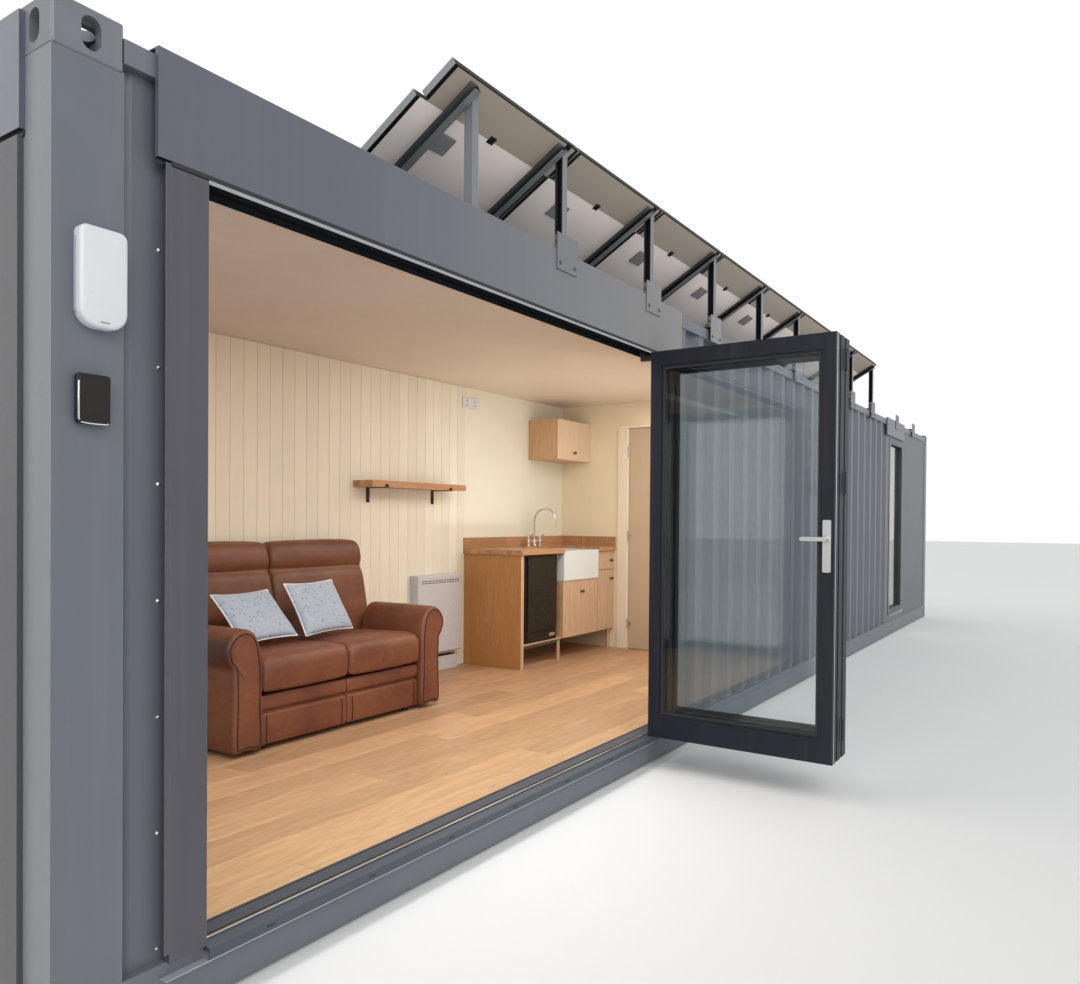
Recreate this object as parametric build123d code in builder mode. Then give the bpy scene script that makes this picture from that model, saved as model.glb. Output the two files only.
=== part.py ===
from build123d import *
import math
import os

os.makedirs("parts", exist_ok=True)

# Container body, in millimetres
container_length = 12192
container_width = 2438
container_height = 2591
casting_length = 178
casting_width = 162
casting_height = 118
casting_wall = 28
casting_corner = 6
round_sides = 20
small_sides = 12
side_hole_height = 84
side_hole_width = 51
top_hole_length = 112
top_hole_width = 63
post_thickness = 6
post_lip = 45
rail_wall = 4
top_rail_size = 60
top_rail_drop = 33
bottom_rail_top = 165
bottom_rail_base = 14
bottom_rail_flange = 48
member_pitch = 610
member_width = 45
sheet_thickness = 2
sheet_recess = 6

# Waves of the wall sheets and of the roof
wave_flat = 71
wave_slope = 68
wave_depth = 36
roof_flat = 66
roof_slope = 38
roof_depth = 18
roof_edge = 90

# Floor, linings and ceiling
floor_thickness = 28
rear_lining_inset = 148
front_lining_inset = 110
end_lining_inset = 110
lining_back = 46
ceiling_drop = 151
ceiling_thickness = 30

# Folding glass door in the long side
opening_left = 412
opening_width = 3010
head_drop = 221
frame_width = 68
frame_depth = 110
track_slot_width = 30
track_slot_depth = 40
leaf_width = 977
leaf_floor_gap = 15
leaf_head_gap = 10
leaf_thickness = 70
leaf_gap = 22
leaf_offset = 33
stack_margin = 38
stile_width = 74
leaf_head_rail = 90
leaf_foot_rail = 130
bead_width = 12
bead_depth = 7
pane_reveal = 3
pane_thickness = 28
hinge_radius = 9
hinge_height = 110
hinge_plate = 3
hinge_levels = (320, 1546, 2160)

# Lever handle of the leading leaf
handle_plate_width = 40
handle_plate_height = 253
handle_plate_depth = 8
handle_inset = 34
handle_base = 1109
lever_height = 1270
lever_length = 130
lever_depth = 14
lever_thickness = 20
spindle_radius = 10
spindle_length = 42

# Folded covers round the openings
cover_proud = 15
cover_thickness = 3
cover_width = 113
end_cover_width = 100
flashing_lap = 37
end_flashing_lap = 8
flashing_rise = 20
flashing_lap_down = 14
flashing_lip = 10
flashing_return = 30

# Glazed end and tall window
end_opening_inset = 230
window_left = 9620
window_width = 800
window_sill = 260
window_head_rise = 67
window_frame_width = 55
window_flashing_left = 9400
window_flashing_length = 1040
window_flashing_gap = 31

# Partition and its hinged door
partition_x = 5950
partition_thickness = 75
door_hinge_edge = 1555
door_width = 762
door_height = 2030
door_thickness = 35
door_gap = 5
door_lining = 32
architrave_width = 95
architrave_head = 28
architrave_thickness = 14
architrave_reveal = 12
knuckle_radius = 6
knuckle_gap = 0.5
pin_radius = 3.5
pin_clearance = 0.1
wing_thickness = 3
wing_width = 25
butt_height = 96
butt_levels = (400, 1209, 1987)
knob_radius = 10
door_lever_height = 1165
door_lever_inset = 60
door_lever_length = 110
door_lever_reach = 46
rose_radius = 25
rose_depth = 8
split_gap = 0.3

# Solar array on the edge of the roof
array_left = 1400
array_high_y = -25
array_rise = 507
array_tilt = 30
panel_pitch = 905
panel_gap = 12
panel_count = 8
panel_thickness = 32
panel_rim = 26
panel_laminate = 6
upper_depth = 172
upper_shift = 40
lower_depth = 690
row_gap = 10
rack_first = 1575
rack_second = 2210
rack_size = 40
rack_wall = 5
rack_margin = 20
bracket_width = 175
bracket_left = 15
bracket_drop = 90
bracket_rise = 75
bracket_thickness = 6
bracket_reach = 150
foot_start = 640
foot_margin = 20
spare_brackets = (9880, 10960)

# Kitchen along the rear wall
kitchen_left = 4425
kitchen_front = 1710
end_panel = 40
unit_base = 345
worktop_top = 1110
worktop_thickness = 38
worktop_lap = 12
worktop_nose = 20
upstand_height = 90
upstand_thickness = 18
front_thickness = 18
front_gap = 3
sink_left = 5050
sink_width = 590
sink_height = 255
sink_drop = 20
sink_depth = 455
sink_wall = 25
drawer_height = 172
fridge_left = 4510
fridge_width = 460
fridge_height = 707
fridge_setback = 15
base_board = 15
leg_radius = 15
leg_inset = 30

# Wall cupboard, shelf and heater
cupboard_left = 5366
cupboard_base = 1900
cupboard_height = 362
cupboard_depth = 314
shelf_left = 3178
shelf_length = 1030
shelf_base = 1575
shelf_thickness = 45
shelf_depth = 195
heater_left = 3770
heater_width = 530
heater_base = 310
heater_height = 610
heater_depth = 90
heater_corner = 12

# Two-seat sofa against the rear lining
sofa_left = 1530
sofa_width = 1640
sofa_front = 1430
sofa_arm_width = 225
sofa_arm_top = 805
sofa_arm_roll = 105
sofa_pillar = 180
sofa_depth = 545
sofa_base = 190
sofa_seat_base = 455
sofa_seat_top = 655
sofa_seat_edge = 35
sofa_plinth_setback = 30
sofa_back_top = 1215
sofa_back_lean = 150
sofa_back_thickness = 150
sofa_back_inset = 55
sofa_back_edge = 30
soft_gap = 0.4
glide_radius = 20
glide_inset = 60
pillow_width = 430
pillow_height = 345
pillow_thickness = 90
pillow_edge = 30
pillow_turn = 8
pillow_clearance = 0.3
pillow_seats = ((1976, 1790, 42), (2434, 1790, 30))

# Boxes on the near corner post
keypad_left = 41
keypad_width = 96
keypad_base = 1578
keypad_height = 122
keypad_depth = 25
keypad_corner = 6
box_spacing = 114
alarm_left = 38
alarm_width = 134
alarm_base = keypad_base + keypad_height + box_spacing
alarm_height = 244
alarm_depth = 48
alarm_corner = 20
alarm_low_corner = 45
alarm_edge = 8

# Datums: plan looks down, facade looks at the long side, section looks along it
stack_reach = leaf_offset + leaf_width + 2 * hinge_radius
near_x = (cover_proud - container_length) / 2
front_y = (stack_reach - container_width) / 2
plan = Plane(origin=(near_x, front_y, 0))
facade = Plane(origin=(near_x, front_y, 0), x_dir=(1, 0, 0), z_dir=(0, -1, 0))
section = Plane(origin=(near_x, front_y, 0), x_dir=(0, 1, 0), z_dir=(1, 0, 0))
mid_length = section.offset(container_length / 2)
mid_width = facade.offset(-container_width / 2)
mid_height = plan.offset(container_height / 2)

# Lines shared by several pieces
top_rail_top = container_height - top_rail_drop
top_rail_base = top_rail_top - top_rail_size
wall_base = bottom_rail_top
ceiling_height = container_height - ceiling_drop
opening_head = top_rail_base - head_drop
leaf_base = bottom_rail_top + leaf_floor_gap
leaf_top = opening_head - leaf_head_gap
flashing_top = top_rail_top + flashing_rise
flashing_base = opening_head + flashing_lap_down
window_top = opening_head + window_head_rise
window_flashing_base = window_top + window_flashing_gap
window_flashing_right = window_flashing_left + window_flashing_length
door_base = bottom_rail_top + door_gap
door_top = door_base + door_height
array_high_z = flashing_top + array_rise
wall_outer = sheet_recess
wall_inner = sheet_recess + wave_depth
stub_line = sheet_recess + wave_depth / 2
opening_right = opening_left + opening_width
frame_left = opening_left - frame_width
frame_right = opening_right + frame_width
frame_top = opening_head + frame_width
window_right = window_left + window_width
rear_inner = container_width - rear_lining_inset
far_inner = container_length - end_lining_inset
end_frame_start = end_opening_inset - frame_width
roof_base = top_rail_top
roof_top = roof_base + sheet_thickness


def block(x0, x1, y0, y1, z0, z1, mode=Mode.ADD):
    with Locations(((x0 + x1) / 2, (y0 + y1) / 2, (z0 + z1) / 2)):
        Box(x1 - x0, y1 - y0, z1 - z0, mode=mode)


# Wave of a pressed sheet, with equal flats left at both ends
def wave_starts(start, stop, flat, slope):
    pitch = 2 * (flat + slope)
    count = int((stop - start - flat) // pitch)
    margin = (stop - start - count * pitch + flat) / 2
    return [start + margin + i * pitch for i in range(count)]


def wave_sheet(start, stop, outer, inner, flat, slope, thickness):
    face = [(start, outer)]
    for x in wave_starts(start, stop, flat, slope):
        face.append((x, outer))
        face.append((x + slope, inner))
        face.append((x + slope + flat, inner))
        face.append((x + 2 * slope + flat, outer))
    face.append((stop, outer))
    back = [(x, y + thickness) for x, y in reversed(face)]
    return face + back


def outline(points):
    Polygon(*points, align=None)


# Oblong outline with many-sided round ends
def oblong(width, height):
    radius = min(width, height) / 2
    reach_x = width / 2 - radius
    reach_y = height / 2 - radius
    points = []
    for i in range(round_sides):
        angle = 2 * math.pi * (i + 0.5) / round_sides
        across = radius * math.cos(angle) + math.copysign(reach_x, math.cos(angle))
        up = radius * math.sin(angle) + math.copysign(reach_y, math.sin(angle))
        points.append((across, up))
    outline(points)


# Corner castings with their lifting apertures
hole_height = container_height - casting_height / 2
with BuildPart(plan) as corner_castings:
    block(0, casting_length, 0, casting_width, container_height - casting_height, container_height)
    chamfer(corner_castings.edges().filter_by(Axis.Z), length=casting_corner)
    block(
        casting_wall,
        casting_length - casting_wall,
        casting_wall,
        casting_width - casting_wall,
        container_height - casting_height + casting_wall,
        container_height - casting_wall,
        mode=Mode.SUBTRACT,
    )
    with BuildSketch(plan.offset(container_height)):
        with Locations((casting_length / 2, casting_width / 2)):
            oblong(top_hole_length, top_hole_width)
    extrude(amount=-casting_wall, mode=Mode.SUBTRACT)
    with BuildSketch(facade):
        with Locations((casting_length / 2 + casting_corner, hole_height)):
            oblong(side_hole_width, side_hole_height)
    extrude(amount=-casting_wall, mode=Mode.SUBTRACT)
    with BuildSketch(section):
        with Locations((casting_width / 2, hole_height)):
            oblong(side_hole_width, side_hole_height)
    extrude(amount=casting_wall, mode=Mode.SUBTRACT)
    mirror(about=mid_height)
    mirror(about=mid_width)
    mirror(about=mid_length)
corner_castings.part.label = "corner_castings"
export_step(corner_castings.part, "parts/corner_castings.step")

# Corner posts folded from plate, between the castings
with BuildPart() as corner_posts:
    with BuildSketch(plan.offset(casting_height)):
        outline([
            (0, 0),
            (casting_length, 0),
            (casting_length, post_lip),
            (casting_length - post_thickness, post_lip),
            (casting_length - post_thickness, post_thickness),
            (post_thickness, post_thickness),
            (post_thickness, casting_width - post_thickness),
            (post_lip, casting_width - post_thickness),
            (post_lip, casting_width),
            (0, casting_width),
        ])
    extrude(amount=container_height - 2 * casting_height)
    mirror(about=mid_width)
    mirror(about=mid_length)
corner_posts.part.label = "corner_posts"
export_step(corner_posts.part, "parts/corner_posts.step")

# Top rails: square tubes between the castings
with BuildPart() as top_rails:
    with BuildSketch(section.offset(casting_length)):
        with Locations((top_rail_size / 2, top_rail_top - top_rail_size / 2)):
            Rectangle(top_rail_size, top_rail_size)
            offset(amount=-rail_wall, mode=Mode.SUBTRACT)
    extrude(amount=container_length - 2 * casting_length)
    mirror(about=mid_width)
    with BuildSketch(facade.offset(-casting_width)):
        with Locations((top_rail_size / 2, top_rail_top - top_rail_size / 2)):
            Rectangle(top_rail_size, top_rail_size)
            offset(amount=-rail_wall, mode=Mode.SUBTRACT)
    extrude(amount=-(container_width - 2 * casting_width))
    mirror(about=mid_length)
top_rails.part.label = "top_rails"
export_step(top_rails.part, "parts/top_rails.step")

# Bottom rails: channels opening inward
rail_channel = [
    (0, bottom_rail_base),
    (bottom_rail_flange, bottom_rail_base),
    (bottom_rail_flange, bottom_rail_base + rail_wall),
    (rail_wall, bottom_rail_base + rail_wall),
    (rail_wall, bottom_rail_top - rail_wall),
    (bottom_rail_flange, bottom_rail_top - rail_wall),
    (bottom_rail_flange, bottom_rail_top),
    (0, bottom_rail_top),
]
with BuildPart() as bottom_rails:
    with BuildSketch(section.offset(casting_length)):
        outline(rail_channel)
    extrude(amount=container_length - 2 * casting_length)
    mirror(about=mid_width)
    with BuildSketch(facade.offset(-casting_width)):
        outline(rail_channel)
    extrude(amount=-(container_width - 2 * casting_width))
    mirror(about=mid_length)
bottom_rails.part.label = "bottom_rails"
export_step(bottom_rails.part, "parts/bottom_rails.step")

# Cross members under the floor
member_base = bottom_rail_base + rail_wall
member_top = bottom_rail_top - floor_thickness
member_count = int((container_length - 2 * casting_length) // member_pitch)
member_first = (container_length - (member_count - 1) * member_pitch - member_width) / 2
with BuildPart() as cross_members:
    for i in range(member_count):
        x = member_first + i * member_pitch
        with BuildSketch(facade.offset(-rail_wall)):
            outline([
                (x, member_base),
                (x + member_width, member_base),
                (x + member_width, member_base + rail_wall),
                (x + rail_wall, member_base + rail_wall),
                (x + rail_wall, member_top - rail_wall),
                (x + member_width, member_top - rail_wall),
                (x + member_width, member_top),
                (x, member_top),
            ])
        extrude(amount=-(container_width - 2 * rail_wall))
cross_members.part.label = "cross_members"
export_step(cross_members.part, "parts/cross_members.step")

# Long front side: stub, corrugated run and flat end sheet
with BuildPart(plan) as front_wall:
    bend = casting_length + wave_slope / 2
    with BuildSketch(plan.offset(wall_base)):
        outline([
            (casting_length, wall_inner),
            (bend, stub_line),
            (frame_left, stub_line),
            (frame_left, stub_line + sheet_thickness),
            (bend, stub_line + sheet_thickness),
            (casting_length, wall_inner + sheet_thickness),
        ])
        outline(wave_sheet(
            frame_right, window_left, wall_outer, wall_inner, wave_flat, wave_slope, sheet_thickness
        ))
    extrude(amount=top_rail_base - wall_base)
    for x0, x1, z0, z1 in (
        (frame_left, frame_right - split_gap, frame_top, top_rail_base),
        (window_left + split_gap, window_right - split_gap, window_top, top_rail_base),
        (window_left + split_gap, window_right - split_gap, wall_base, window_sill),
        (window_right, container_length - casting_length, wall_base, top_rail_base),
    ):
        block(x0, x1, wall_outer, wall_outer + sheet_thickness, z0, z1)
front_wall.part.label = "front_wall"
export_step(front_wall.part, "parts/front_wall.step")

# Long rear side, corrugated from post to post
with BuildPart() as rear_wall:
    with BuildSketch(plan.offset(wall_base)):
        outline(wave_sheet(
            casting_length,
            container_length - casting_length,
            container_width - wall_outer,
            container_width - wall_inner,
            wave_flat,
            wave_slope,
            -sheet_thickness,
        ))
    extrude(amount=top_rail_base - wall_base)
rear_wall.part.label = "rear_wall"
export_step(rear_wall.part, "parts/rear_wall.step")

# End walls: sheet over the glazed end, full corrugated wall at the far end
with BuildPart(plan) as end_walls:
    with BuildSketch(plan.offset(wall_base)):
        wave = wave_sheet(
            casting_width,
            container_width - casting_width,
            container_length - wall_outer,
            container_length - wall_inner,
            wave_flat,
            wave_slope,
            -sheet_thickness,
        )
        outline([(x, y) for y, x in wave])
    extrude(amount=top_rail_base - wall_base)
    block(
        wall_outer,
        wall_outer + sheet_thickness,
        casting_width,
        container_width - casting_width,
        frame_top,
        top_rail_base,
    )
end_walls.part.label = "end_walls"
export_step(end_walls.part, "parts/end_walls.step")

# Roof: waves pressed across the sheet, flat strips along its edges
with BuildPart(plan) as roof_sheet:
    with BuildSketch(facade.offset(-roof_edge)):
        outline(wave_sheet(
            casting_length,
            container_length - casting_length,
            roof_base,
            roof_base + roof_depth,
            roof_flat,
            roof_slope,
            sheet_thickness,
        ))
    extrude(amount=-(container_width - 2 * roof_edge))
    for y in (roof_edge, container_width - roof_edge - sheet_thickness):
        with BuildSketch(facade.offset(-y)):
            for x in wave_starts(
                casting_length, container_length - casting_length, roof_flat, roof_slope
            ):
                outline([
                    (x, roof_base),
                    (x + roof_slope, roof_base + roof_depth),
                    (x + roof_slope + roof_flat, roof_base + roof_depth),
                    (x + 2 * roof_slope + roof_flat, roof_base),
                ])
        extrude(amount=-sheet_thickness)
    for y in (0, container_width - roof_edge):
        block(casting_length, container_length - casting_length, y, y + roof_edge, roof_base, roof_top)
    for x in (0, container_length - casting_length):
        block(
            x, x + casting_length, casting_width, container_width - casting_width, roof_base, roof_top
        )
roof_sheet.part.label = "roof_sheet"
export_step(roof_sheet.part, "parts/roof_sheet.step")

# Floor on the cross members, notched round the corner posts
with BuildPart(plan) as floor:
    block(
        casting_length,
        container_length - casting_length,
        bottom_rail_flange,
        container_width - bottom_rail_flange,
        member_top,
        bottom_rail_top,
    )
    for x0, x1 in (
        (bottom_rail_flange, casting_length),
        (container_length - casting_length, container_length - bottom_rail_flange),
    ):
        block(x0, x1, casting_width, container_width - casting_width, member_top, bottom_rail_top)
floor.part.label = "floor"
export_step(floor.part, "parts/floor.step")

# Linings of the long walls and the ends
with BuildPart(plan) as rear_lining:
    block(
        lining_back,
        container_length - lining_back,
        rear_inner,
        container_width - lining_back,
        wall_base,
        ceiling_height,
    )
rear_lining.part.label = "rear_lining"
export_step(rear_lining.part, "parts/rear_lining.step")

with BuildPart(plan) as front_lining:
    for x0, x1, z0, z1 in (
        (lining_back, frame_left, wall_base, ceiling_height),
        (frame_left + split_gap, frame_right - split_gap, frame_top, ceiling_height),
        (frame_right, window_left, wall_base, ceiling_height),
        (window_left + split_gap, window_right - split_gap, window_top, ceiling_height),
        (window_left + split_gap, window_right - split_gap, wall_base, window_sill),
        (window_right, container_length - lining_back, wall_base, ceiling_height),
    ):
        block(x0, x1, lining_back, front_lining_inset, z0, z1)
front_lining.part.label = "front_lining"
export_step(front_lining.part, "parts/front_lining.step")

with BuildPart(plan) as end_linings:
    for y0, y1, z0 in (
        (front_lining_inset, casting_width, wall_base),
        (casting_width + split_gap, container_width - casting_width - split_gap, frame_top),
        (container_width - casting_width, rear_inner, wall_base),
    ):
        block(lining_back, end_lining_inset, y0, y1, z0, ceiling_height)
    block(
        far_inner,
        container_length - lining_back,
        front_lining_inset,
        rear_inner,
        wall_base,
        ceiling_height,
    )
end_linings.part.label = "end_linings"
export_step(end_linings.part, "parts/end_linings.step")

# Ceiling laid on the linings
with BuildPart(plan) as ceiling:
    block(
        lining_back,
        container_length - lining_back,
        lining_back,
        container_width - lining_back,
        ceiling_height,
        ceiling_height + ceiling_thickness,
    )
ceiling.part.label = "ceiling"
export_step(ceiling.part, "parts/ceiling.step")

# Partition between the two rooms, in two sides and a head
door_latch_edge = door_hinge_edge - door_width
jamb_hinge = door_hinge_edge + door_gap
jamb_latch = door_latch_edge - door_gap
jamb_head = door_top + door_gap
partition_back = partition_x + partition_thickness
with BuildPart(plan) as partition_wall:
    for y0, y1, z0 in (
        (front_lining_inset, jamb_latch - door_lining, wall_base),
        (
            jamb_latch - door_lining + split_gap,
            jamb_hinge + door_lining - split_gap,
            jamb_head + door_lining,
        ),
        (jamb_hinge + door_lining, rear_inner, wall_base),
    ):
        block(partition_x, partition_back, y0, y1, z0, ceiling_height)
partition_wall.part.label = "partition_wall"
export_step(partition_wall.part, "parts/partition_wall.step")

# Door frame: lining boards and architraves on both faces
with BuildPart(plan) as partition_door_frame:
    block(partition_x, partition_back, jamb_hinge, jamb_hinge + door_lining, wall_base, jamb_head)
    block(partition_x, partition_back, jamb_latch - door_lining, jamb_latch, wall_base, jamb_head)
    block(
        partition_x,
        partition_back,
        jamb_latch - door_lining,
        jamb_hinge + door_lining,
        jamb_head + split_gap,
        jamb_head + door_lining,
    )
    for x0 in (partition_x - architrave_thickness, partition_back):
        x1 = x0 + architrave_thickness
        for y0 in (
            jamb_hinge + architrave_reveal,
            jamb_latch - architrave_reveal - architrave_width,
        ):
            block(x0, x1, y0, y0 + architrave_width, wall_base, jamb_head)
        block(
            x0,
            x1,
            jamb_latch - architrave_reveal - architrave_width,
            jamb_hinge + architrave_reveal + architrave_width,
            jamb_head + split_gap,
            jamb_head + architrave_head,
        )
partition_door_frame.part.label = "partition_door_frame"
export_step(partition_door_frame.part, "parts/partition_door_frame.step")

# Hinged door leaf, flush with the face of the partition
with BuildPart(plan) as partition_door:
    block(
        partition_x, partition_x + door_thickness, door_latch_edge, door_hinge_edge, door_base, door_top
    )
partition_door.part.label = "partition_door"
export_step(partition_door.part, "parts/partition_door.step")

# Butt hinges: the leaf's knuckles turn on pins held by the jamb
pin_x = partition_x - knuckle_radius
pin_y = (door_hinge_edge + jamb_hinge) / 2
knuckle_height = butt_height / 3 - 2 * knuckle_gap
with BuildPart(plan) as partition_door_hinges:
    for z in butt_levels:
        with Locations((pin_x, pin_y, z)):
            Cylinder(knuckle_radius, knuckle_height)
        block(
            partition_x - wing_thickness,
            partition_x,
            door_hinge_edge - wing_width,
            pin_y,
            z - knuckle_height / 2,
            z + knuckle_height / 2,
        )
        with Locations((pin_x, pin_y, z)):
            Cylinder(pin_radius + pin_clearance, knuckle_height, mode=Mode.SUBTRACT)
partition_door_hinges.part.label = "partition_door_hinges"
export_step(partition_door_hinges.part, "parts/partition_door_hinges.step")

with BuildPart(plan) as jamb_hinges:
    for z in butt_levels:
        with Locations((pin_x, pin_y, z)):
            Cylinder(pin_radius, butt_height)
        for level in (z - butt_height / 3, z + butt_height / 3):
            with BuildSketch(plan.offset(level - knuckle_height / 2)):
                with Locations((pin_x, pin_y)):
                    RegularPolygon(knuckle_radius, small_sides)
            extrude(amount=knuckle_height)
            block(
                partition_x - wing_thickness,
                partition_x,
                pin_y,
                jamb_hinge + architrave_reveal,
                level - knuckle_height / 2,
                level + knuckle_height / 2,
            )
jamb_hinges.part.label = "jamb_hinges"
export_step(jamb_hinges.part, "parts/jamb_hinges.step")

# Lever handles on both faces of the hinged door
lever_y = door_latch_edge + door_lever_inset
with BuildPart() as partition_door_handle:
    for x, side in ((partition_x, -1), (partition_x + door_thickness, 1)):
        with BuildSketch(section.offset(x)):
            with Locations((lever_y, door_lever_height)):
                RegularPolygon(rose_radius, round_sides)
        extrude(amount=side * rose_depth)
        with BuildSketch(section.offset(x)):
            with Locations((lever_y, door_lever_height)):
                RegularPolygon(knob_radius, small_sides)
        extrude(amount=side * door_lever_reach)
        with BuildSketch(section.offset(x + side * door_lever_reach)):
            with Locations((lever_y + door_lever_length / 2 - knob_radius, door_lever_height)):
                oblong(door_lever_length, 2 * knob_radius)
        extrude(amount=-side * lever_depth)
partition_door_handle.part.label = "partition_door_handle"
export_step(partition_door_handle.part, "parts/partition_door_handle.step")

# Folding door frame: head with its track slot, and two jambs
with BuildPart(plan) as folding_door_frame:
    block(frame_left, frame_right, 0, frame_depth, opening_head, frame_top)
    block(
        opening_left,
        opening_right,
        (frame_depth - track_slot_width) / 2,
        (frame_depth + track_slot_width) / 2,
        opening_head,
        opening_head + track_slot_depth,
        mode=Mode.SUBTRACT,
    )
    for x in (frame_left, opening_right):
        block(x, x + frame_width, 0, frame_depth, wall_base, opening_head - split_gap)
folding_door_frame.part.label = "folding_door_frame"
export_step(folding_door_frame.part, "parts/folding_door_frame.step")

# Threshold with its nose, track bead and inner plate
sill_nose = 30
sill_nose_base = 128
sill_nose_top = 161
sill_lip = 4
sill_step = 150
sill_plate = 171
sill_track = 176
track_start = 2
track_end = 14
with BuildPart() as folding_door_sill:
    with BuildSketch(section.offset(opening_left)):
        outline([
            (-sill_nose, sill_nose_base),
            (-sill_nose + sill_lip, sill_nose_base),
            (-sill_nose + sill_lip, sill_step),
            (0, sill_step),
            (0, bottom_rail_top),
            (frame_depth, bottom_rail_top),
            (frame_depth, sill_plate),
            (track_end, sill_plate),
            (track_end, sill_track),
            (track_start, sill_track),
            (track_start, sill_plate),
            (-sill_nose, sill_nose_top),
        ])
    extrude(amount=opening_width)
folding_door_sill.part.label = "folding_door_sill"
export_step(folding_door_sill.part, "parts/folding_door_sill.step")

# Three glazed leaves folded together at the right jamb, square to the long side
leaf_pitch = leaf_thickness + leaf_gap
stack_far = opening_right - stack_margin
leaf_faces = [stack_far - i * leaf_pitch - leaf_thickness for i in range(3)]
leaf_outer = -leaf_offset - leaf_width
leaf_height = leaf_top - leaf_base
light_width = leaf_width - 2 * stile_width
light_height = leaf_height - leaf_head_rail - leaf_foot_rail
light_y = leaf_outer + leaf_width / 2
light_z = leaf_base + leaf_foot_rail + light_height / 2
with BuildPart() as folding_door_leaves:
    for x in leaf_faces:
        with BuildSketch(section.offset(x)):
            with Locations((light_y, leaf_base + leaf_height / 2)):
                Rectangle(leaf_width, leaf_height)
            with Locations((light_y, light_z)):
                Rectangle(light_width, light_height, mode=Mode.SUBTRACT)
        extrude(amount=leaf_thickness)
        for face, side in ((x, 1), (x + leaf_thickness, -1)):
            with BuildSketch(section.offset(face)):
                with Locations((light_y, light_z)):
                    Rectangle(light_width + 2 * bead_width, light_height + 2 * bead_width)
            extrude(amount=side * bead_depth, mode=Mode.SUBTRACT)
folding_door_leaves.part.label = "folding_door_leaves"
export_step(folding_door_leaves.part, "parts/folding_door_leaves.step")

with BuildPart() as folding_door_glass:
    for x in leaf_faces:
        with BuildSketch(section.offset(x + bead_depth + pane_reveal)):
            with Locations((light_y, light_z)):
                Rectangle(light_width, light_height)
        extrude(amount=pane_thickness)
folding_door_glass.part.label = "folding_door_glass"
export_step(folding_door_glass.part, "parts/folding_door_glass.step")

# Hinges of the folding leaves, with the carriage that runs in the track
hinge_wing = 34
carriage_width = 24
carriage_height = 30
hinge_near = -leaf_offset + hinge_radius
hinge_far = leaf_outer - hinge_radius
outer_pin = leaf_faces[1] + leaf_thickness + leaf_gap / 2
inner_pin = leaf_faces[2] + leaf_thickness + leaf_gap / 2
jamb_pin = opening_right - stack_margin / 2
with BuildPart(plan) as folding_door_hinges:
    for z in hinge_levels:
        z0 = z - hinge_height / 2
        z1 = z + hinge_height / 2
        for x, y in ((outer_pin, hinge_far), (inner_pin, hinge_near), (jamb_pin, hinge_near)):
            with Locations((x, y, z)):
                Cylinder(hinge_radius, hinge_height)
        block(outer_pin - hinge_wing, outer_pin + hinge_wing, leaf_outer - hinge_plate, leaf_outer, z0, z1)
        block(
            inner_pin - hinge_wing,
            inner_pin + hinge_wing,
            -leaf_offset,
            -leaf_offset + hinge_plate,
            z0,
            z1,
        )
        block(
            jamb_pin - stack_margin / 2 - hinge_wing,
            jamb_pin,
            -leaf_offset,
            -leaf_offset + hinge_plate,
            z0,
            z1,
        )
        block(opening_right - hinge_plate, opening_right, hinge_near, frame_depth / 2, z0, z1)
        block(jamb_pin, opening_right, hinge_near - hinge_plate, hinge_near, z0, z1)
    block(
        inner_pin - carriage_width / 2,
        inner_pin + carriage_width / 2,
        -leaf_offset + hinge_plate,
        frame_depth / 2 + carriage_width / 2,
        leaf_top - carriage_height,
        leaf_top,
    )
    block(
        inner_pin - carriage_width / 2,
        inner_pin + carriage_width / 2,
        frame_depth / 2 - track_slot_width / 2,
        frame_depth / 2 + track_slot_width / 2,
        opening_head,
        opening_head + carriage_height,
    )
    block(
        inner_pin - carriage_width / 2,
        inner_pin + carriage_width / 2,
        frame_depth / 2 - carriage_width / 2,
        frame_depth / 2 + carriage_width / 2,
        leaf_top,
        opening_head,
    )
folding_door_hinges.part.label = "folding_door_hinges"
export_step(folding_door_hinges.part, "parts/folding_door_hinges.step")

# Lever handle on the leading leaf
handle_y = leaf_outer + handle_inset
handle_face = leaf_faces[2]
with BuildPart() as folding_door_handle:
    with BuildSketch(section.offset(handle_face)):
        with Locations((handle_y, handle_base + handle_plate_height / 2)):
            RectangleRounded(handle_plate_width, handle_plate_height, lever_depth / 2)
    extrude(amount=-handle_plate_depth)
    with BuildSketch(section.offset(handle_face - handle_plate_depth)):
        with Locations((handle_y, lever_height)):
            Circle(spindle_radius)
    extrude(amount=-spindle_length)
    with BuildSketch(section.offset(handle_face - handle_plate_depth - spindle_length)):
        with Locations((handle_y + lever_length / 2 - spindle_radius, lever_height)):
            SlotOverall(lever_length, lever_thickness)
    extrude(amount=lever_depth)
folding_door_handle.part.label = "folding_door_handle"
export_step(folding_door_handle.part, "parts/folding_door_handle.step")

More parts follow.
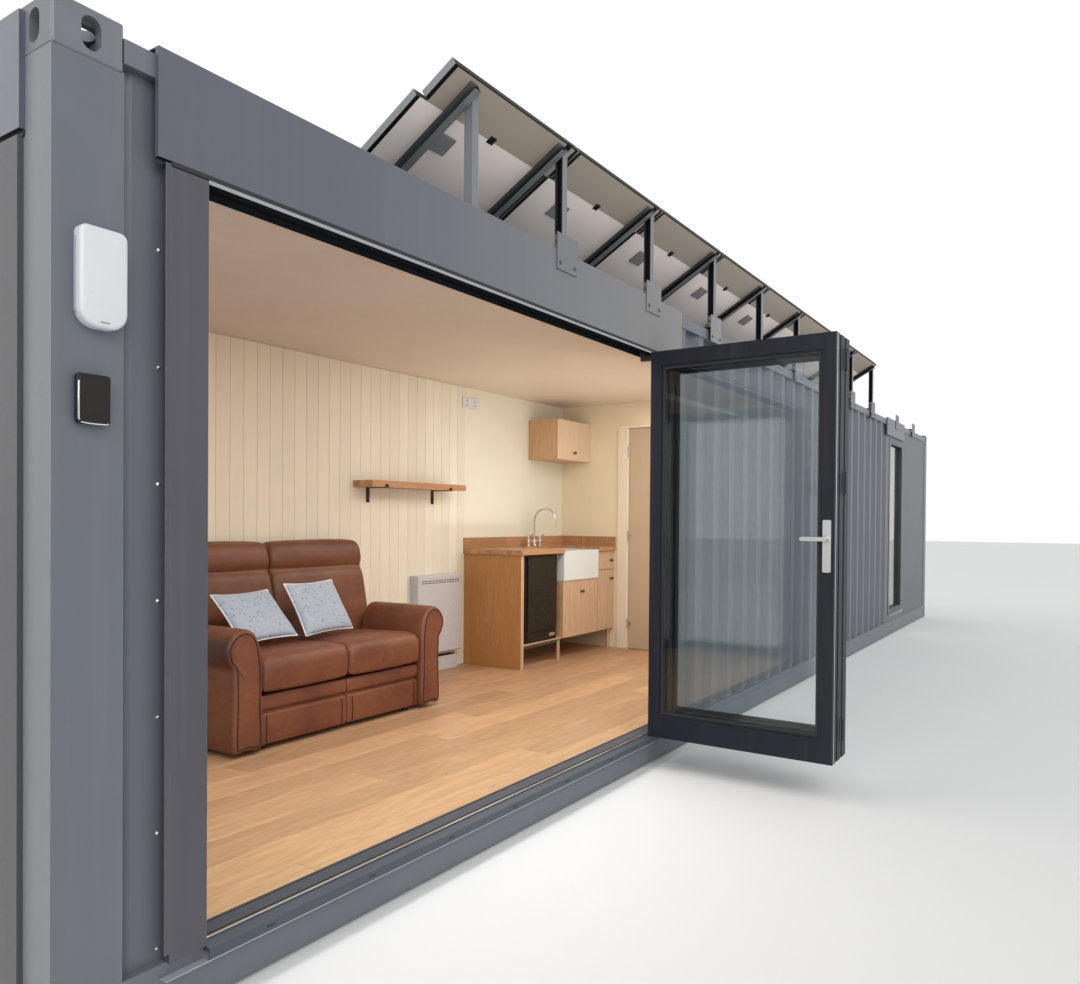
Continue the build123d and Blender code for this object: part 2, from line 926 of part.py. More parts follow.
# Folded flashings over the folding door, the glazed end and the tall window
inner_skin = cover_proud - cover_thickness
flashing_left = opening_left - cover_width - flashing_lap
flashing_right = opening_right + cover_width + flashing_lap
flashing_face = [
    (0, flashing_top),
    (-cover_proud, flashing_top),
    (-cover_proud, flashing_base),
    (-cover_proud + flashing_lip, flashing_base),
    (-cover_proud + flashing_lip, opening_head),
    (-inner_skin + flashing_lip, opening_head),
    (-inner_skin + flashing_lip, flashing_base + cover_thickness),
    (-inner_skin, flashing_base + cover_thickness),
    (-inner_skin, flashing_top - cover_thickness),
    (0, flashing_top - cover_thickness),
]
end_flashing_start = end_opening_inset - end_cover_width - end_flashing_lap
with BuildPart(plan) as head_flashings:
    with BuildSketch(section.offset(flashing_left)):
        outline(flashing_face)
    extrude(amount=flashing_right - flashing_left)
    block(
        flashing_left,
        flashing_right,
        0,
        flashing_return,
        flashing_top - cover_thickness,
        flashing_top,
    )
    block(
        flashing_left,
        flashing_right,
        flashing_return - cover_thickness,
        flashing_return,
        roof_top,
        flashing_top,
    )
    for x in (flashing_left, flashing_right - cover_thickness):
        block(x, x + cover_thickness, -cover_proud, 0, flashing_base, flashing_top)
    with BuildSketch(facade.offset(-end_flashing_start)):
        outline(flashing_face)
    extrude(amount=-(container_width - 2 * end_flashing_start))
    for y in (end_flashing_start, container_width - end_flashing_start - cover_thickness):
        block(-cover_proud, 0, y, y + cover_thickness, flashing_base, flashing_top)
    block(
        window_flashing_left,
        window_flashing_right,
        -cover_proud,
        0,
        window_flashing_base,
        flashing_top,
    )
    block(
        window_flashing_left + cover_thickness,
        window_flashing_right - cover_thickness,
        -inner_skin,
        0,
        window_flashing_base + cover_thickness,
        flashing_top - cover_thickness,
        mode=Mode.SUBTRACT,
    )
head_flashings.part.label = "head_flashings"
export_step(head_flashings.part, "parts/head_flashings.step")

# Folded covers beside the folding door and the glazed end
with BuildPart(plan) as jamb_covers:
    for x0, x1, back in (
        (opening_left - cover_width, opening_left, stub_line),
        (opening_right + cover_width, opening_right, wall_outer),
    ):
        turn = math.copysign(cover_thickness, x1 - x0)
        with BuildSketch(plan.offset(wall_base)):
            outline([
                (x0, back),
                (x0, -cover_proud),
                (x1, -cover_proud),
                (x1, 0),
                (x1 - turn, 0),
                (x1 - turn, -inner_skin),
                (x0 + turn, -inner_skin),
                (x0 + turn, back),
            ])
        extrude(amount=opening_head - wall_base)
    for y0, y1 in (
        (end_opening_inset - end_cover_width, end_opening_inset),
        (container_width - end_opening_inset + end_cover_width, container_width - end_opening_inset),
    ):
        turn = math.copysign(cover_thickness, y1 - y0)
        with BuildSketch(plan.offset(wall_base)):
            outline([
                (0, y0),
                (-cover_proud, y0),
                (-cover_proud, y1),
                (0, y1),
                (0, y1 - turn),
                (-inner_skin, y1 - turn),
                (-inner_skin, y0 + turn),
                (0, y0 + turn),
            ])
        extrude(amount=opening_head - wall_base)
jamb_covers.part.label = "jamb_covers"
export_step(jamb_covers.part, "parts/jamb_covers.step")

# Frames and panes of the glazed near end, with its mullion, and of the tall window
end_frame_stop = container_width - end_frame_start
end_middle = container_width / 2
with BuildPart(plan) as window_frames:
    block(0, frame_depth, end_frame_start, end_frame_stop, opening_head, frame_top)
    block(
        0,
        frame_depth,
        end_opening_inset + split_gap,
        container_width - end_opening_inset - split_gap,
        wall_base,
        wall_base + frame_width,
    )
    for y0, y1, z0 in (
        (end_frame_start, end_opening_inset, wall_base),
        (end_middle - frame_width / 2, end_middle + frame_width / 2, wall_base + frame_width + split_gap),
        (container_width - end_opening_inset, end_frame_stop, wall_base),
    ):
        block(0, frame_depth, y0, y1, z0, opening_head - split_gap)
    for z0, z1 in (
        (window_sill, window_sill + window_frame_width),
        (window_top - window_frame_width, window_top),
    ):
        block(window_left, window_right, 0, frame_depth, z0, z1)
    for x in (window_left, window_right - window_frame_width):
        block(
            x,
            x + window_frame_width,
            0,
            frame_depth,
            window_sill + window_frame_width + split_gap,
            window_top - window_frame_width - split_gap,
        )
window_frames.part.label = "window_frames"
export_step(window_frames.part, "parts/window_frames.step")

with BuildPart(plan) as window_glass:
    for y0, y1 in (
        (end_opening_inset, end_middle - frame_width / 2),
        (end_middle + frame_width / 2, container_width - end_opening_inset),
    ):
        block(
            (frame_depth - pane_thickness) / 2,
            (frame_depth + pane_thickness) / 2,
            y0,
            y1,
            wall_base + frame_width,
            opening_head,
        )
    block(
        window_left + window_frame_width,
        window_right - window_frame_width,
        (frame_depth - pane_thickness) / 2,
        (frame_depth + pane_thickness) / 2,
        window_sill + window_frame_width,
        window_top - window_frame_width,
    )
window_glass.part.label = "window_glass"
export_step(window_glass.part, "parts/window_glass.step")

# Rack of the solar array: posts, sloping rails, brackets and rear feet
tilt = math.radians(array_tilt)
slope_down = (0, math.cos(tilt), -math.sin(tilt))
array = Plane(
    origin=(near_x + array_left, front_y + array_high_y, array_high_z),
    x_dir=(1, 0, 0),
    z_dir=(0, math.sin(tilt), math.cos(tilt)),
)
rack_drop = (panel_thickness + rack_size) / math.cos(tilt)
bracket_foot = flashing_top + bracket_thickness
rack_lines = [rack_second + i * panel_pitch for i in range(panel_count)]
array_depth = upper_depth + row_gap + lower_depth


def panel_underside(y):
    return array_high_z - (y - array_high_y) * math.tan(tilt) - panel_thickness / math.cos(tilt)


def rack_underside(y):
    return array_high_z - (y - array_high_y) * math.tan(tilt) - rack_drop


# Strips that make up the posts: place, width, front, back and foot
post_front = -cover_proud - bracket_thickness
post_base = flashing_top + bracket_rise
first_left = rack_first + rack_size / 2
strips = [
    (first_left + rack_wall, rack_size - rack_wall, 0, rack_wall, flashing_top),
    (first_left, rack_wall, 0, rack_size, flashing_top),
]
for x in rack_lines:
    left = x + rack_size / 2
    right = left + rack_size
    strips.append((right - rack_wall, rack_wall, post_front, post_front + rack_size, post_base))
    strips.append((left, rack_size - rack_wall, post_front, post_front + rack_wall, post_base))
    back = post_front + rack_size
    strips.append((left, rack_size - rack_wall, back - rack_wall, back, post_base))
with BuildPart() as rack_frames:
    for x, width, y0, y1, base in strips:
        with BuildSketch(section.offset(x)):
            outline([(y0, base), (y1, base), (y1, panel_underside(y1)), (y0, panel_underside(y0))])
        extrude(amount=width)
    for x in [rack_first] + rack_lines:
        for depth, thickness in ((0, rack_wall), (rack_size - rack_wall, rack_wall)):
            with BuildSketch(array.offset(-panel_thickness - depth)):
                with Locations((x - array_left, array_depth / 2)):
                    Rectangle(rack_size, array_depth - 2 * rack_margin)
            extrude(amount=-thickness)
        with BuildSketch(array.offset(-panel_thickness)):
            with Locations((x - array_left + (rack_size - rack_wall) / 2, array_depth / 2)):
                Rectangle(rack_wall, array_depth - 2 * rack_margin)
        extrude(amount=-rack_size)
rack_frames.part.label = "rack_frames"
export_step(rack_frames.part, "parts/rack_frames.step")

with BuildPart(plan) as rack_brackets:
    for x in rack_lines + list(spare_brackets):
        x0 = x - bracket_left
        x1 = x0 + bracket_width
        block(x0, x1, post_front, -cover_proud, flashing_top - bracket_drop, flashing_top + bracket_rise)
        block(x0, x1, post_front, bracket_reach, flashing_top, bracket_foot)
    for x in rack_lines:
        block(
            x + rack_size / 2,
            x + 3 * rack_size / 2,
            -cover_proud,
            post_front + rack_size,
            bracket_foot,
            flashing_top + bracket_rise,
        )
    for x in [rack_first] + rack_lines:
        block(
            x - bracket_width / 2,
            x + bracket_width / 2,
            foot_start - foot_margin,
            foot_start + rack_size + foot_margin,
            flashing_top,
            bracket_foot,
        )
        with BuildSketch(section.offset(x - rack_size / 2)):
            outline([
                (foot_start, bracket_foot),
                (foot_start + rack_size, bracket_foot),
                (foot_start + rack_size, rack_underside(foot_start + rack_size)),
                (foot_start, rack_underside(foot_start)),
            ])
        extrude(amount=rack_size)
rack_brackets.part.label = "rack_brackets"
export_step(rack_brackets.part, "parts/rack_brackets.step")

# Framed solar panels in two rows, hollow on the underside
panel_length = panel_pitch - panel_gap


def panel_centres(first, middle):
    return [(first + i * panel_pitch + panel_length / 2, middle) for i in range(panel_count)]


upper_centres = panel_centres(upper_shift, upper_depth / 2)
lower_centres = panel_centres(0, upper_depth + row_gap + lower_depth / 2)
with BuildPart() as solar_panels_upper:
    with BuildSketch(array):
        with Locations(*upper_centres):
            Rectangle(panel_length, upper_depth)
    extrude(amount=-panel_thickness)
    with BuildSketch(array.offset(-panel_thickness)):
        with Locations(*upper_centres):
            Rectangle(panel_length - 2 * panel_rim, upper_depth - 2 * panel_rim)
    extrude(amount=panel_thickness - panel_laminate, mode=Mode.SUBTRACT)
solar_panels_upper.part.label = "solar_panels_upper"
export_step(solar_panels_upper.part, "parts/solar_panels_upper.step")

with BuildPart() as solar_panels_lower:
    with BuildSketch(array):
        with Locations(*lower_centres):
            Rectangle(panel_length, lower_depth)
    extrude(amount=-panel_thickness)
    with BuildSketch(array.offset(-panel_thickness)):
        with Locations(*lower_centres):
            Rectangle(panel_length - 2 * panel_rim, lower_depth - 2 * panel_rim)
    extrude(amount=panel_thickness - panel_laminate, mode=Mode.SUBTRACT)
solar_panels_lower.part.label = "solar_panels_lower"
export_step(solar_panels_lower.part, "parts/solar_panels_lower.step")

# Alarm box and keypad on the near corner post
with BuildPart() as alarm_box:
    with BuildSketch(facade):
        with Locations((alarm_left + alarm_width / 2, alarm_base + alarm_height / 2)):
            Rectangle(alarm_width, alarm_height)
        low_corner = vertices().group_by(Axis.Y)[0].sort_by(Axis.X)[0]
        others = vertices().filter_by(lambda v: v != low_corner)
        fillet(others, radius=alarm_corner)
        fillet(vertices().group_by(Axis.Y)[0].sort_by(Axis.X)[0], radius=alarm_low_corner)
    extrude(amount=alarm_depth)
    chamfer(faces().filter_by(Axis.Y).sort_by(Axis.Y)[0].edges(), length=alarm_edge)
alarm_box.part.label = "alarm_box"
export_step(alarm_box.part, "parts/alarm_box.step")

with BuildPart() as keypad:
    with BuildSketch(facade):
        with Locations((keypad_left + keypad_width / 2, keypad_base + keypad_height / 2)):
            RectangleRounded(keypad_width, keypad_height, keypad_corner)
    extrude(amount=keypad_depth)
keypad.part.label = "keypad"
export_step(keypad.part, "parts/keypad.step")

# Kitchen carcasses with fronts, base board, end panel and legs, and the wall cupboard
worktop_base = worktop_top - worktop_thickness
sink_right = sink_left + sink_width
sink_top = worktop_top - sink_drop
sink_base = sink_top - sink_height
drawer_base = worktop_base - drawer_height
upstand_top = worktop_top + upstand_height
carcass_front = kitchen_front + front_thickness
leg_rows = (carcass_front + leg_inset, rear_inner - leg_inset)
cupboard_front = rear_inner - cupboard_depth
cupboard_middle = (cupboard_left + partition_x) / 2
cupboard_top = cupboard_base + cupboard_height
with BuildPart(plan) as kitchen_units:
    block(kitchen_left, kitchen_left + end_panel, kitchen_front, rear_inner, wall_base, worktop_base)
    block(
        kitchen_left + end_panel,
        sink_left,
        carcass_front,
        rear_inner,
        unit_base,
        unit_base + base_board,
    )
    block(sink_left, sink_right, carcass_front, rear_inner, unit_base, sink_base)
    block(sink_right, partition_x, carcass_front, rear_inner, unit_base, worktop_base)
    for x0, x1, z0, z1 in (
        (sink_left, sink_right, unit_base, sink_base),
        (sink_right, partition_x, unit_base, drawer_base),
        (sink_right, partition_x, drawer_base, worktop_base),
    ):
        block(
            x0 + front_gap,
            x1 - front_gap,
            kitchen_front,
            carcass_front,
            z0 + front_gap,
            z1 - front_gap,
        )
    with BuildSketch(plan.offset(wall_base)):
        for x in (sink_left, partition_x - leg_inset):
            for y in leg_rows:
                with Locations((x, y)):
                    Circle(leg_radius)
    extrude(amount=unit_base - wall_base)
    block(
        cupboard_left,
        partition_x,
        cupboard_front + front_thickness,
        rear_inner,
        cupboard_base,
        cupboard_top,
    )
    for x0, x1 in ((cupboard_left, cupboard_middle), (cupboard_middle, partition_x)):
        block(
            x0 + front_gap,
            x1 - front_gap,
            cupboard_front,
            cupboard_front + front_thickness,
            cupboard_base,
            cupboard_top,
        )
kitchen_units.part.label = "kitchen_units"
export_step(kitchen_units.part, "parts/kitchen_units.step")

# Worktop cut round the sink, with its upstands
worktop_front = kitchen_front - worktop_nose
sink_front = kitchen_front - worktop_nose / 2
sink_back = sink_front + sink_depth
with BuildPart(plan) as worktop:
    block(
        kitchen_left - worktop_lap, partition_x, worktop_front, rear_inner, worktop_base, worktop_top
    )
    block(
        sink_left,
        sink_right,
        worktop_front,
        sink_back,
        worktop_base,
        worktop_top,
        mode=Mode.SUBTRACT,
    )
    block(
        kitchen_left - worktop_lap,
        partition_x,
        rear_inner - upstand_thickness,
        rear_inner,
        worktop_top,
        upstand_top,
    )
    block(
        partition_x - upstand_thickness, partition_x, worktop_front, rear_inner, worktop_top, upstand_top
    )
worktop.part.label = "worktop"
export_step(worktop.part, "parts/worktop.step")

# Deep ceramic sink on the middle unit
with BuildPart(plan) as sink:
    block(sink_left, sink_right, sink_front, sink_back, sink_base, sink_top)
    block(
        sink_left + sink_wall,
        sink_right - sink_wall,
        sink_front + sink_wall,
        sink_back - sink_wall,
        sink_base + sink_wall,
        sink_top,
        mode=Mode.SUBTRACT,
    )
sink.part.label = "sink"
export_step(sink.part, "parts/sink.step")

# Small fridge under the worktop
fridge_base = unit_base + base_board
with BuildPart(plan) as fridge:
    block(
        fridge_left,
        fridge_left + fridge_width,
        kitchen_front + fridge_setback,
        rear_inner - leg_inset,
        fridge_base,
        fridge_base + fridge_height,
    )
    fillet(fridge.edges().filter_by(Axis.Z), radius=keypad_corner)
fridge.part.label = "fridge"
export_step(fridge.part, "parts/fridge.step")

# Shelf on the rear lining
with BuildPart(plan) as wall_shelf:
    block(
        shelf_left,
        shelf_left + shelf_length,
        rear_inner - shelf_depth,
        rear_inner,
        shelf_base,
        shelf_base + shelf_thickness,
    )
wall_shelf.part.label = "wall_shelf"
export_step(wall_shelf.part, "parts/wall_shelf.step")

# Panel heater on the rear lining
with BuildPart(plan) as panel_heater:
    block(
        heater_left,
        heater_left + heater_width,
        rear_inner - heater_depth,
        rear_inner,
        heater_base,
        heater_base + heater_height,
    )
    fillet(panel_heater.faces().sort_by(Axis.Y)[0].edges(), radius=heater_corner)
panel_heater.part.label = "panel_heater"
export_step(panel_heater.part, "parts/panel_heater.step")

# Sofa: plinth with glides, rolled arms, seats, backs and two loose pillows
sofa_middle = sofa_left + sofa_width / 2
seat_left = sofa_left + sofa_arm_width
seat_right = sofa_left + sofa_width - sofa_arm_width
sofa_rear = sofa_front + sofa_depth
with BuildPart(plan) as sofa_plinth:
    block(
        seat_left + soft_gap,
        seat_right - soft_gap,
        sofa_front + sofa_plinth_setback,
        sofa_rear,
        sofa_base,
        sofa_seat_base,
    )
    with BuildSketch(plan.offset(wall_base)):
        for x in (seat_left + glide_inset, seat_right - glide_inset):
            for y in (sofa_front + sofa_plinth_setback + glide_inset, sofa_rear - glide_inset):
                with Locations((x, y)):
                    RegularPolygon(glide_radius, small_sides)
    extrude(amount=sofa_base - wall_base)
sofa_plinth.part.label = "sofa_plinth"
export_step(sofa_plinth.part, "parts/sofa_plinth.step")

with BuildPart() as sofa_arms:
    for x, side in ((seat_left, -1), (seat_right, 1)):
        with BuildSketch(facade.offset(-sofa_front)):
            with Locations((x + side * sofa_pillar / 2, (sofa_base + sofa_arm_top - sofa_arm_roll) / 2)):
                Rectangle(sofa_pillar, sofa_arm_top - sofa_arm_roll - sofa_base)
            with Locations(
                (x + side * (sofa_arm_width - sofa_arm_roll), sofa_arm_top - sofa_arm_roll)
            ):
                Circle(sofa_arm_roll)
        extrude(amount=-sofa_depth)
sofa_arms.part.label = "sofa_arms"
export_step(sofa_arms.part, "parts/sofa_arms.step")

back_left = sofa_left + sofa_back_inset
back_right = sofa_left + sofa_width - sofa_back_inset
with BuildPart(plan) as sofa_cushions:
    for x0, x1 in ((seat_left, sofa_middle), (sofa_middle, seat_right)):
        block(
            x0 + soft_gap,
            x1 - soft_gap,
            sofa_front,
            sofa_rear - soft_gap,
            sofa_seat_base + soft_gap,
            sofa_seat_top,
        )
    fillet(sofa_cushions.faces().sort_by(Axis.Y)[0:2].edges().filter_by(Axis.X), radius=sofa_seat_edge)
    for x0, x1 in ((back_left, sofa_middle), (sofa_middle, back_right)):
        with BuildSketch(section.offset(x0 + soft_gap)):
            outline([
                (sofa_rear + soft_gap, sofa_base),
                (sofa_rear + soft_gap, sofa_seat_base),
                (sofa_rear + soft_gap + sofa_back_lean, sofa_back_top),
                (sofa_rear + soft_gap + sofa_back_lean + sofa_back_thickness, sofa_back_top),
                (sofa_rear + soft_gap + sofa_back_lean + sofa_back_thickness, sofa_base),
            ])
            fillet(vertices().group_by(Axis.Z)[-1], radius=sofa_back_edge)
        extrude(amount=x1 - x0 - 2 * soft_gap)
sofa_cushions.part.label = "sofa_cushions"
export_step(sofa_cushions.part, "parts/sofa_cushions.step")

with BuildPart() as scatter_pillows:
    for x, y, lean in pillow_seats:
        slope = math.radians(lean)
        lift = pillow_height / 2 * math.cos(slope) + pillow_thickness / 2 * math.sin(slope)
        place = Location((x, y, sofa_seat_top + lift + pillow_clearance), (0, 0, pillow_turn))
        with BuildSketch(plan * place * Location((0, 0, 0), (90 - lean, 0, 0))):
            RectangleRounded(pillow_width, pillow_height, pillow_edge)
        extrude(amount=pillow_thickness / 2, both=True)
scatter_pillows.part.label = "scatter_pillows"
export_step(scatter_pillows.part, "parts/scatter_pillows.step")
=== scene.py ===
import math
import random

import bmesh
import bpy
from mathutils import Matrix, Vector, noise


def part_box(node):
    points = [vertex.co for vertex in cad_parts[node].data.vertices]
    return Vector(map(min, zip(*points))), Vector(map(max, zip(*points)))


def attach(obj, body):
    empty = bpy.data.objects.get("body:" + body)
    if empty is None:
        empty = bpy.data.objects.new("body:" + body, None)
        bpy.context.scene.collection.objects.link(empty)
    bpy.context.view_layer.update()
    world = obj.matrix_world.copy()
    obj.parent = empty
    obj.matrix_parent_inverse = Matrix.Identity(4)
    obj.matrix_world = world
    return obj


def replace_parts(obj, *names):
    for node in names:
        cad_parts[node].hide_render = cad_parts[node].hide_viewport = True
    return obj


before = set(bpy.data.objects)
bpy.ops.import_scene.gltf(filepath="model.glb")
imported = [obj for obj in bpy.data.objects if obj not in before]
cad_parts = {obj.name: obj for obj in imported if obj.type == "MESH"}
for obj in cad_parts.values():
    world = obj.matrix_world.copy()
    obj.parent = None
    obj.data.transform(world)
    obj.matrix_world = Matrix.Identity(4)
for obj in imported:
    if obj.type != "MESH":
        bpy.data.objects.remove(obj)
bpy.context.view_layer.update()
scene = bpy.context.scene
scene.view_settings.view_transform = 'Standard'
print("frame loaded")

# the container's near left corner in the frame, so places can be given along, into and up the body
nearCorner = Vector((-6.0885, -0.705, 0.0))


def at(x, y, z):
    return Vector((x, y, z)) + nearCorner


# camera solved from the photo against the container's standard sizes
camera = {"place": (-1.0224, -2.0587, 1.3537), "yaw": 33.534, "pitch": -0.579, "roll": 0.414,
          "focalPixels": 842.89, "centre": (538.31, 528.18), "image": (1080, 984)}


def addCamera():
    yaw, pitch, roll = (math.radians(camera[k]) for k in ("yaw", "pitch", "roll"))
    ahead = Vector((math.cos(yaw) * math.cos(pitch), math.sin(yaw) * math.cos(pitch), math.sin(pitch)))
    right = ahead.cross(Vector((0, 0, 1))).normalized()
    up = right.cross(ahead)
    right, up = (math.cos(roll) * right + math.sin(roll) * up, math.cos(roll) * up - math.sin(roll) * right)
    data = bpy.data.cameras.new("photoCamera")
    wide, high = camera["image"]
    data.sensor_width = 36
    data.lens = 36 * camera["focalPixels"] / wide
    data.shift_x = (wide / 2 - camera["centre"][0]) / wide
    data.shift_y = (camera["centre"][1] - high / 2) / wide
    data.clip_end = 200
    eye = bpy.data.objects.new("photoCamera", data)
    turn = Matrix((right, up, -ahead)).transposed().to_4x4()
    eye.matrix_world = Matrix.Translation(at(*camera["place"])) @ turn
    scene.collection.objects.link(eye)
    scene.camera = eye


addCamera()


# node helpers

class Tree:
    # thin wrapper that adds and links shader nodes in one line
    def __init__(self, nodeTree):
        self.tree = nodeTree
        self.nodes = nodeTree.nodes
        self.links = nodeTree.links

    def put(self, target, value):
        if isinstance(value, bpy.types.NodeSocket):
            self.links.new(value, target)
        elif value is not None:
            target.default_value = value

    def add(self, kind, inputs=None, **settings):
        node = self.nodes.new(kind)
        for key, value in settings.items():
            setattr(node, key, value)
        for key, value in (inputs or {}).items():
            self.put(node.inputs[key], value)
        return node

    def find(self, kind):
        return next(node for node in self.nodes if node.type == kind)

    def math(self, operation, a, b=None, clamp=False):
        return self.add("ShaderNodeMath", {0: a, 1: b}, operation=operation, use_clamp=clamp).outputs[0]

    def plus(self, a, b, clamp=False):
        return self.math("ADD", a, b, clamp)

    def minus(self, a, b):
        return self.math("SUBTRACT", a, b)

    def times(self, a, b, clamp=False):
        return self.math("MULTIPLY", a, b, clamp)

    def vectors(self, operation, a, b):
        return self.add("ShaderNodeVectorMath", {0: a, 1: b}, operation=operation).outputs

    def split(self, vector):
        return self.add("ShaderNodeSeparateXYZ", {"Vector": vector}).outputs

    def mix(self, factor, a, b, blend="MIX"):
        node = self.add("ShaderNodeMix", {"Factor": factor}, data_type="RGBA", blend_type=blend)
        self.put(node.inputs[6], a)
        self.put(node.inputs[7], b)
        return node.outputs[2]

    def mixShaders(self, factor, a, b):
        return self.add("ShaderNodeMixShader", {0: factor, 1: a, 2: b}).outputs[0]

    def ramp(self, value, low, high, outLow=0.0, outHigh=1.0):
        ends = {"From Min": low, "From Max": high, "To Min": outLow, "To Max": outHigh}
        return self.add("ShaderNodeMapRange", {"Value": value, **ends}).outputs[0]

    def noise(self, vector, scale, detail=4.0, rough=0.5, distortion=0.0):
        inputs = {"Vector": vector, "Scale": scale, "Detail": detail, "Roughness": rough,
                  "Distortion": distortion}
        return self.add("ShaderNodeTexNoise", inputs).outputs["Fac"]

    def cells(self, vector, scale, **settings):
        return self.add("ShaderNodeTexVoronoi", {"Vector": vector, "Scale": scale}, **settings).outputs

    def chance(self, seed):
        return self.add("ShaderNodeTexWhiteNoise", {"W": seed}, noise_dimensions="1D").outputs

    def stretch(self, vector, scale=(1, 1, 1), turn=(0, 0, 0), shift=(0, 0, 0)):
        inputs = {"Vector": vector, "Scale": scale, "Rotation": turn, "Location": shift}
        return self.add("ShaderNodeMapping", inputs).outputs["Vector"]

    def bump(self, height, strength, distance, normal=None):
        inputs = {"Height": height, "Strength": strength, "Distance": distance, "Normal": normal}
        return self.add("ShaderNodeBump", inputs).outputs["Normal"]

    def facing(self):
        return self.add("ShaderNodeNewGeometry").outputs["Normal"]

    def pieceTone(self):
        return self.add("ShaderNodeAttribute", attribute_name="tone").outputs["Fac"]


def rgb(r, g, b):
    return (r, g, b, 1.0)


def dim(colour, share):
    return rgb(*(c * share for c in colour))


def newGroup(name, inputs, outputs):
    group = bpy.data.node_groups.new(name, "ShaderNodeTree")
    for label, kind, value in [("Vector", "Vector", None)] + inputs:
        socket = group.interface.new_socket(label, in_out="INPUT", socket_type="NodeSocket" + kind)
        if value is not None:
            socket.default_value = value
    for label, kind in outputs:
        group.interface.new_socket(label, in_out="OUTPUT", socket_type="NodeSocket" + kind)
    t = Tree(group)
    return t, t.add("NodeGroupInput").outputs, t.add("NodeGroupOutput").inputs


def makeWeathering():
    # dust on upward faces, rain streaks down the walls and a faint mottling
    t, given, out = newGroup("weathering",
                             [("Dust", "Float", 0.3), ("Streaks", "Float", 0.3), ("Mottle", "Float", 0.1)],
                             [("Dirt", "Float"), ("Shade", "Float")])
    up = t.split(t.facing())["Z"]
    cloud = t.noise(given["Vector"], 2.2, 6, 0.6)
    fine = t.noise(given["Vector"], 34, 5, 0.65)
    patches = t.ramp(t.plus(cloud, t.times(fine, 0.5)), 0.45, 1.05)
    lying = t.times(t.ramp(up, 0.45, 0.95), patches)
    runs = t.noise(t.stretch(given["Vector"], (14, 14, 0.55)), 1.0, 5, 0.6)
    upright = t.ramp(t.math("ABSOLUTE", up), 0.5, 0.1)
    streaks = t.times(upright, t.ramp(runs, 0.52, 0.78))
    t.put(out["Dirt"], t.plus(t.times(lying, given["Dust"]), t.times(streaks, given["Streaks"]), clamp=True))
    t.put(out["Shade"], t.plus(1.0, t.times(t.minus(cloud, 0.5), given["Mottle"])))
    return t.tree


def makeEdgeWear():
    # light line where two faces meet at an outer edge
    t, given, out = newGroup("edgeWear", [("Width", "Float", 0.004), ("Amount", "Float", 0.5)],
                             [("Wear", "Float")])
    rounded = t.add("ShaderNodeBevel", {"Radius": given["Width"]}, samples=4).outputs["Normal"]
    edge = t.ramp(t.vectors("DOT_PRODUCT", rounded, t.facing())["Value"], 0.985, 0.88)
    patch = t.ramp(t.noise(given["Vector"], 26, 5, 0.7), 0.42, 0.66)
    t.put(out["Wear"], t.times(t.times(edge, patch), given["Amount"], clamp=True))
    return t.tree


def makeWoodGrain():
    # long fibres along X of the given vector, with rings and darker pores
    t, given, out = newGroup("woodGrain",
                             [("Scale", "Float", 1.0), ("Light", "Color", rgb(0.6, 0.4, 0.25)),
                              ("Dark", "Color", rgb(0.4, 0.25, 0.14))],
                             [("Color", "Color"), ("Height", "Float")])
    scaled = {0: given["Vector"], "Scale": given["Scale"]}
    vector = t.add("ShaderNodeVectorMath", scaled, operation="SCALE").outputs[0]
    broad = t.noise(t.stretch(vector, (1.2, 12, 12)), 1.0, 4, 0.55, 0.6)
    rings = t.math("SINE", t.times(broad, 46))
    fibre = t.noise(t.stretch(vector, (4, 190, 190)), 1.0, 4, 0.6)
    pores = t.ramp(t.noise(t.stretch(vector, (9, 320, 320)), 1.0, 3, 0.6), 0.6, 0.74)
    tone = t.plus(t.times(t.ramp(rings, -1, 1), 0.28), t.plus(t.times(broad, 0.5), t.times(fibre, 0.4)))
    colour = t.mix(t.ramp(tone, 0.3, 0.95), given["Light"], given["Dark"])
    t.put(out["Color"], t.mix(t.times(pores, 0.35), colour, given["Dark"]))
    t.put(out["Height"], t.minus(t.times(fibre, 0.6), t.times(pores, 0.6)))
    return t.tree


weathering = makeWeathering()
edgeWear = makeEdgeWear()
woodGrain = makeWoodGrain()


# materials, kept by name

look = {}


def newMaterial(name):
    material = bpy.data.materials.new(name)
    material.use_nodes = True
    look[name] = material
    t = Tree(material.node_tree)
    return t, t.find("BSDF_PRINCIPLED"), t.add("ShaderNodeTexCoord").outputs["Object"]


def dress(t, shader, colour, roughness, normal):
    for label, value in (("Base Color", colour), ("Roughness", roughness), ("Normal", normal)):
        t.put(shader.inputs[label], value)


def groupNode(t, group, **inputs):
    return t.add("ShaderNodeGroup", inputs, node_tree=group).outputs


paintBelow = {"bareMetal": (0.32, 0.33, 0.34), "soil": (0.30, 0.28, 0.25)}


def paint(name, colour, roughness=0.42, dust=0.3, streaks=0.25, mottle=0.22, wear=0.25, peel=0.06, edge=0.003):
    # factory or site paint on metal: mottling, dust, rain streaks and rubbed edges
    t, shader, spot = newMaterial(name)
    weather = groupNode(t, weathering, Vector=spot, Dust=dust, Streaks=streaks, Mottle=mottle)
    rub = groupNode(t, edgeWear, Vector=spot, Width=edge, Amount=wear)
    toned = t.mix(1.0, rgb(*colour), weather["Shade"], "MULTIPLY")
    dirty = t.mix(t.times(weather["Dirt"], 0.55), toned, rgb(*paintBelow["soil"]))
    gloss = t.plus(roughness, t.times(t.minus(t.noise(spot, 60, 4, 0.6), 0.5), 0.16))
    dress(t, shader, t.mix(rub["Wear"], dirty, rgb(*paintBelow["bareMetal"])),
          t.plus(gloss, t.times(weather["Dirt"], 0.3), clamp=True),
          t.bump(t.noise(spot, 420, 2, 0.5), peel, 0.001))


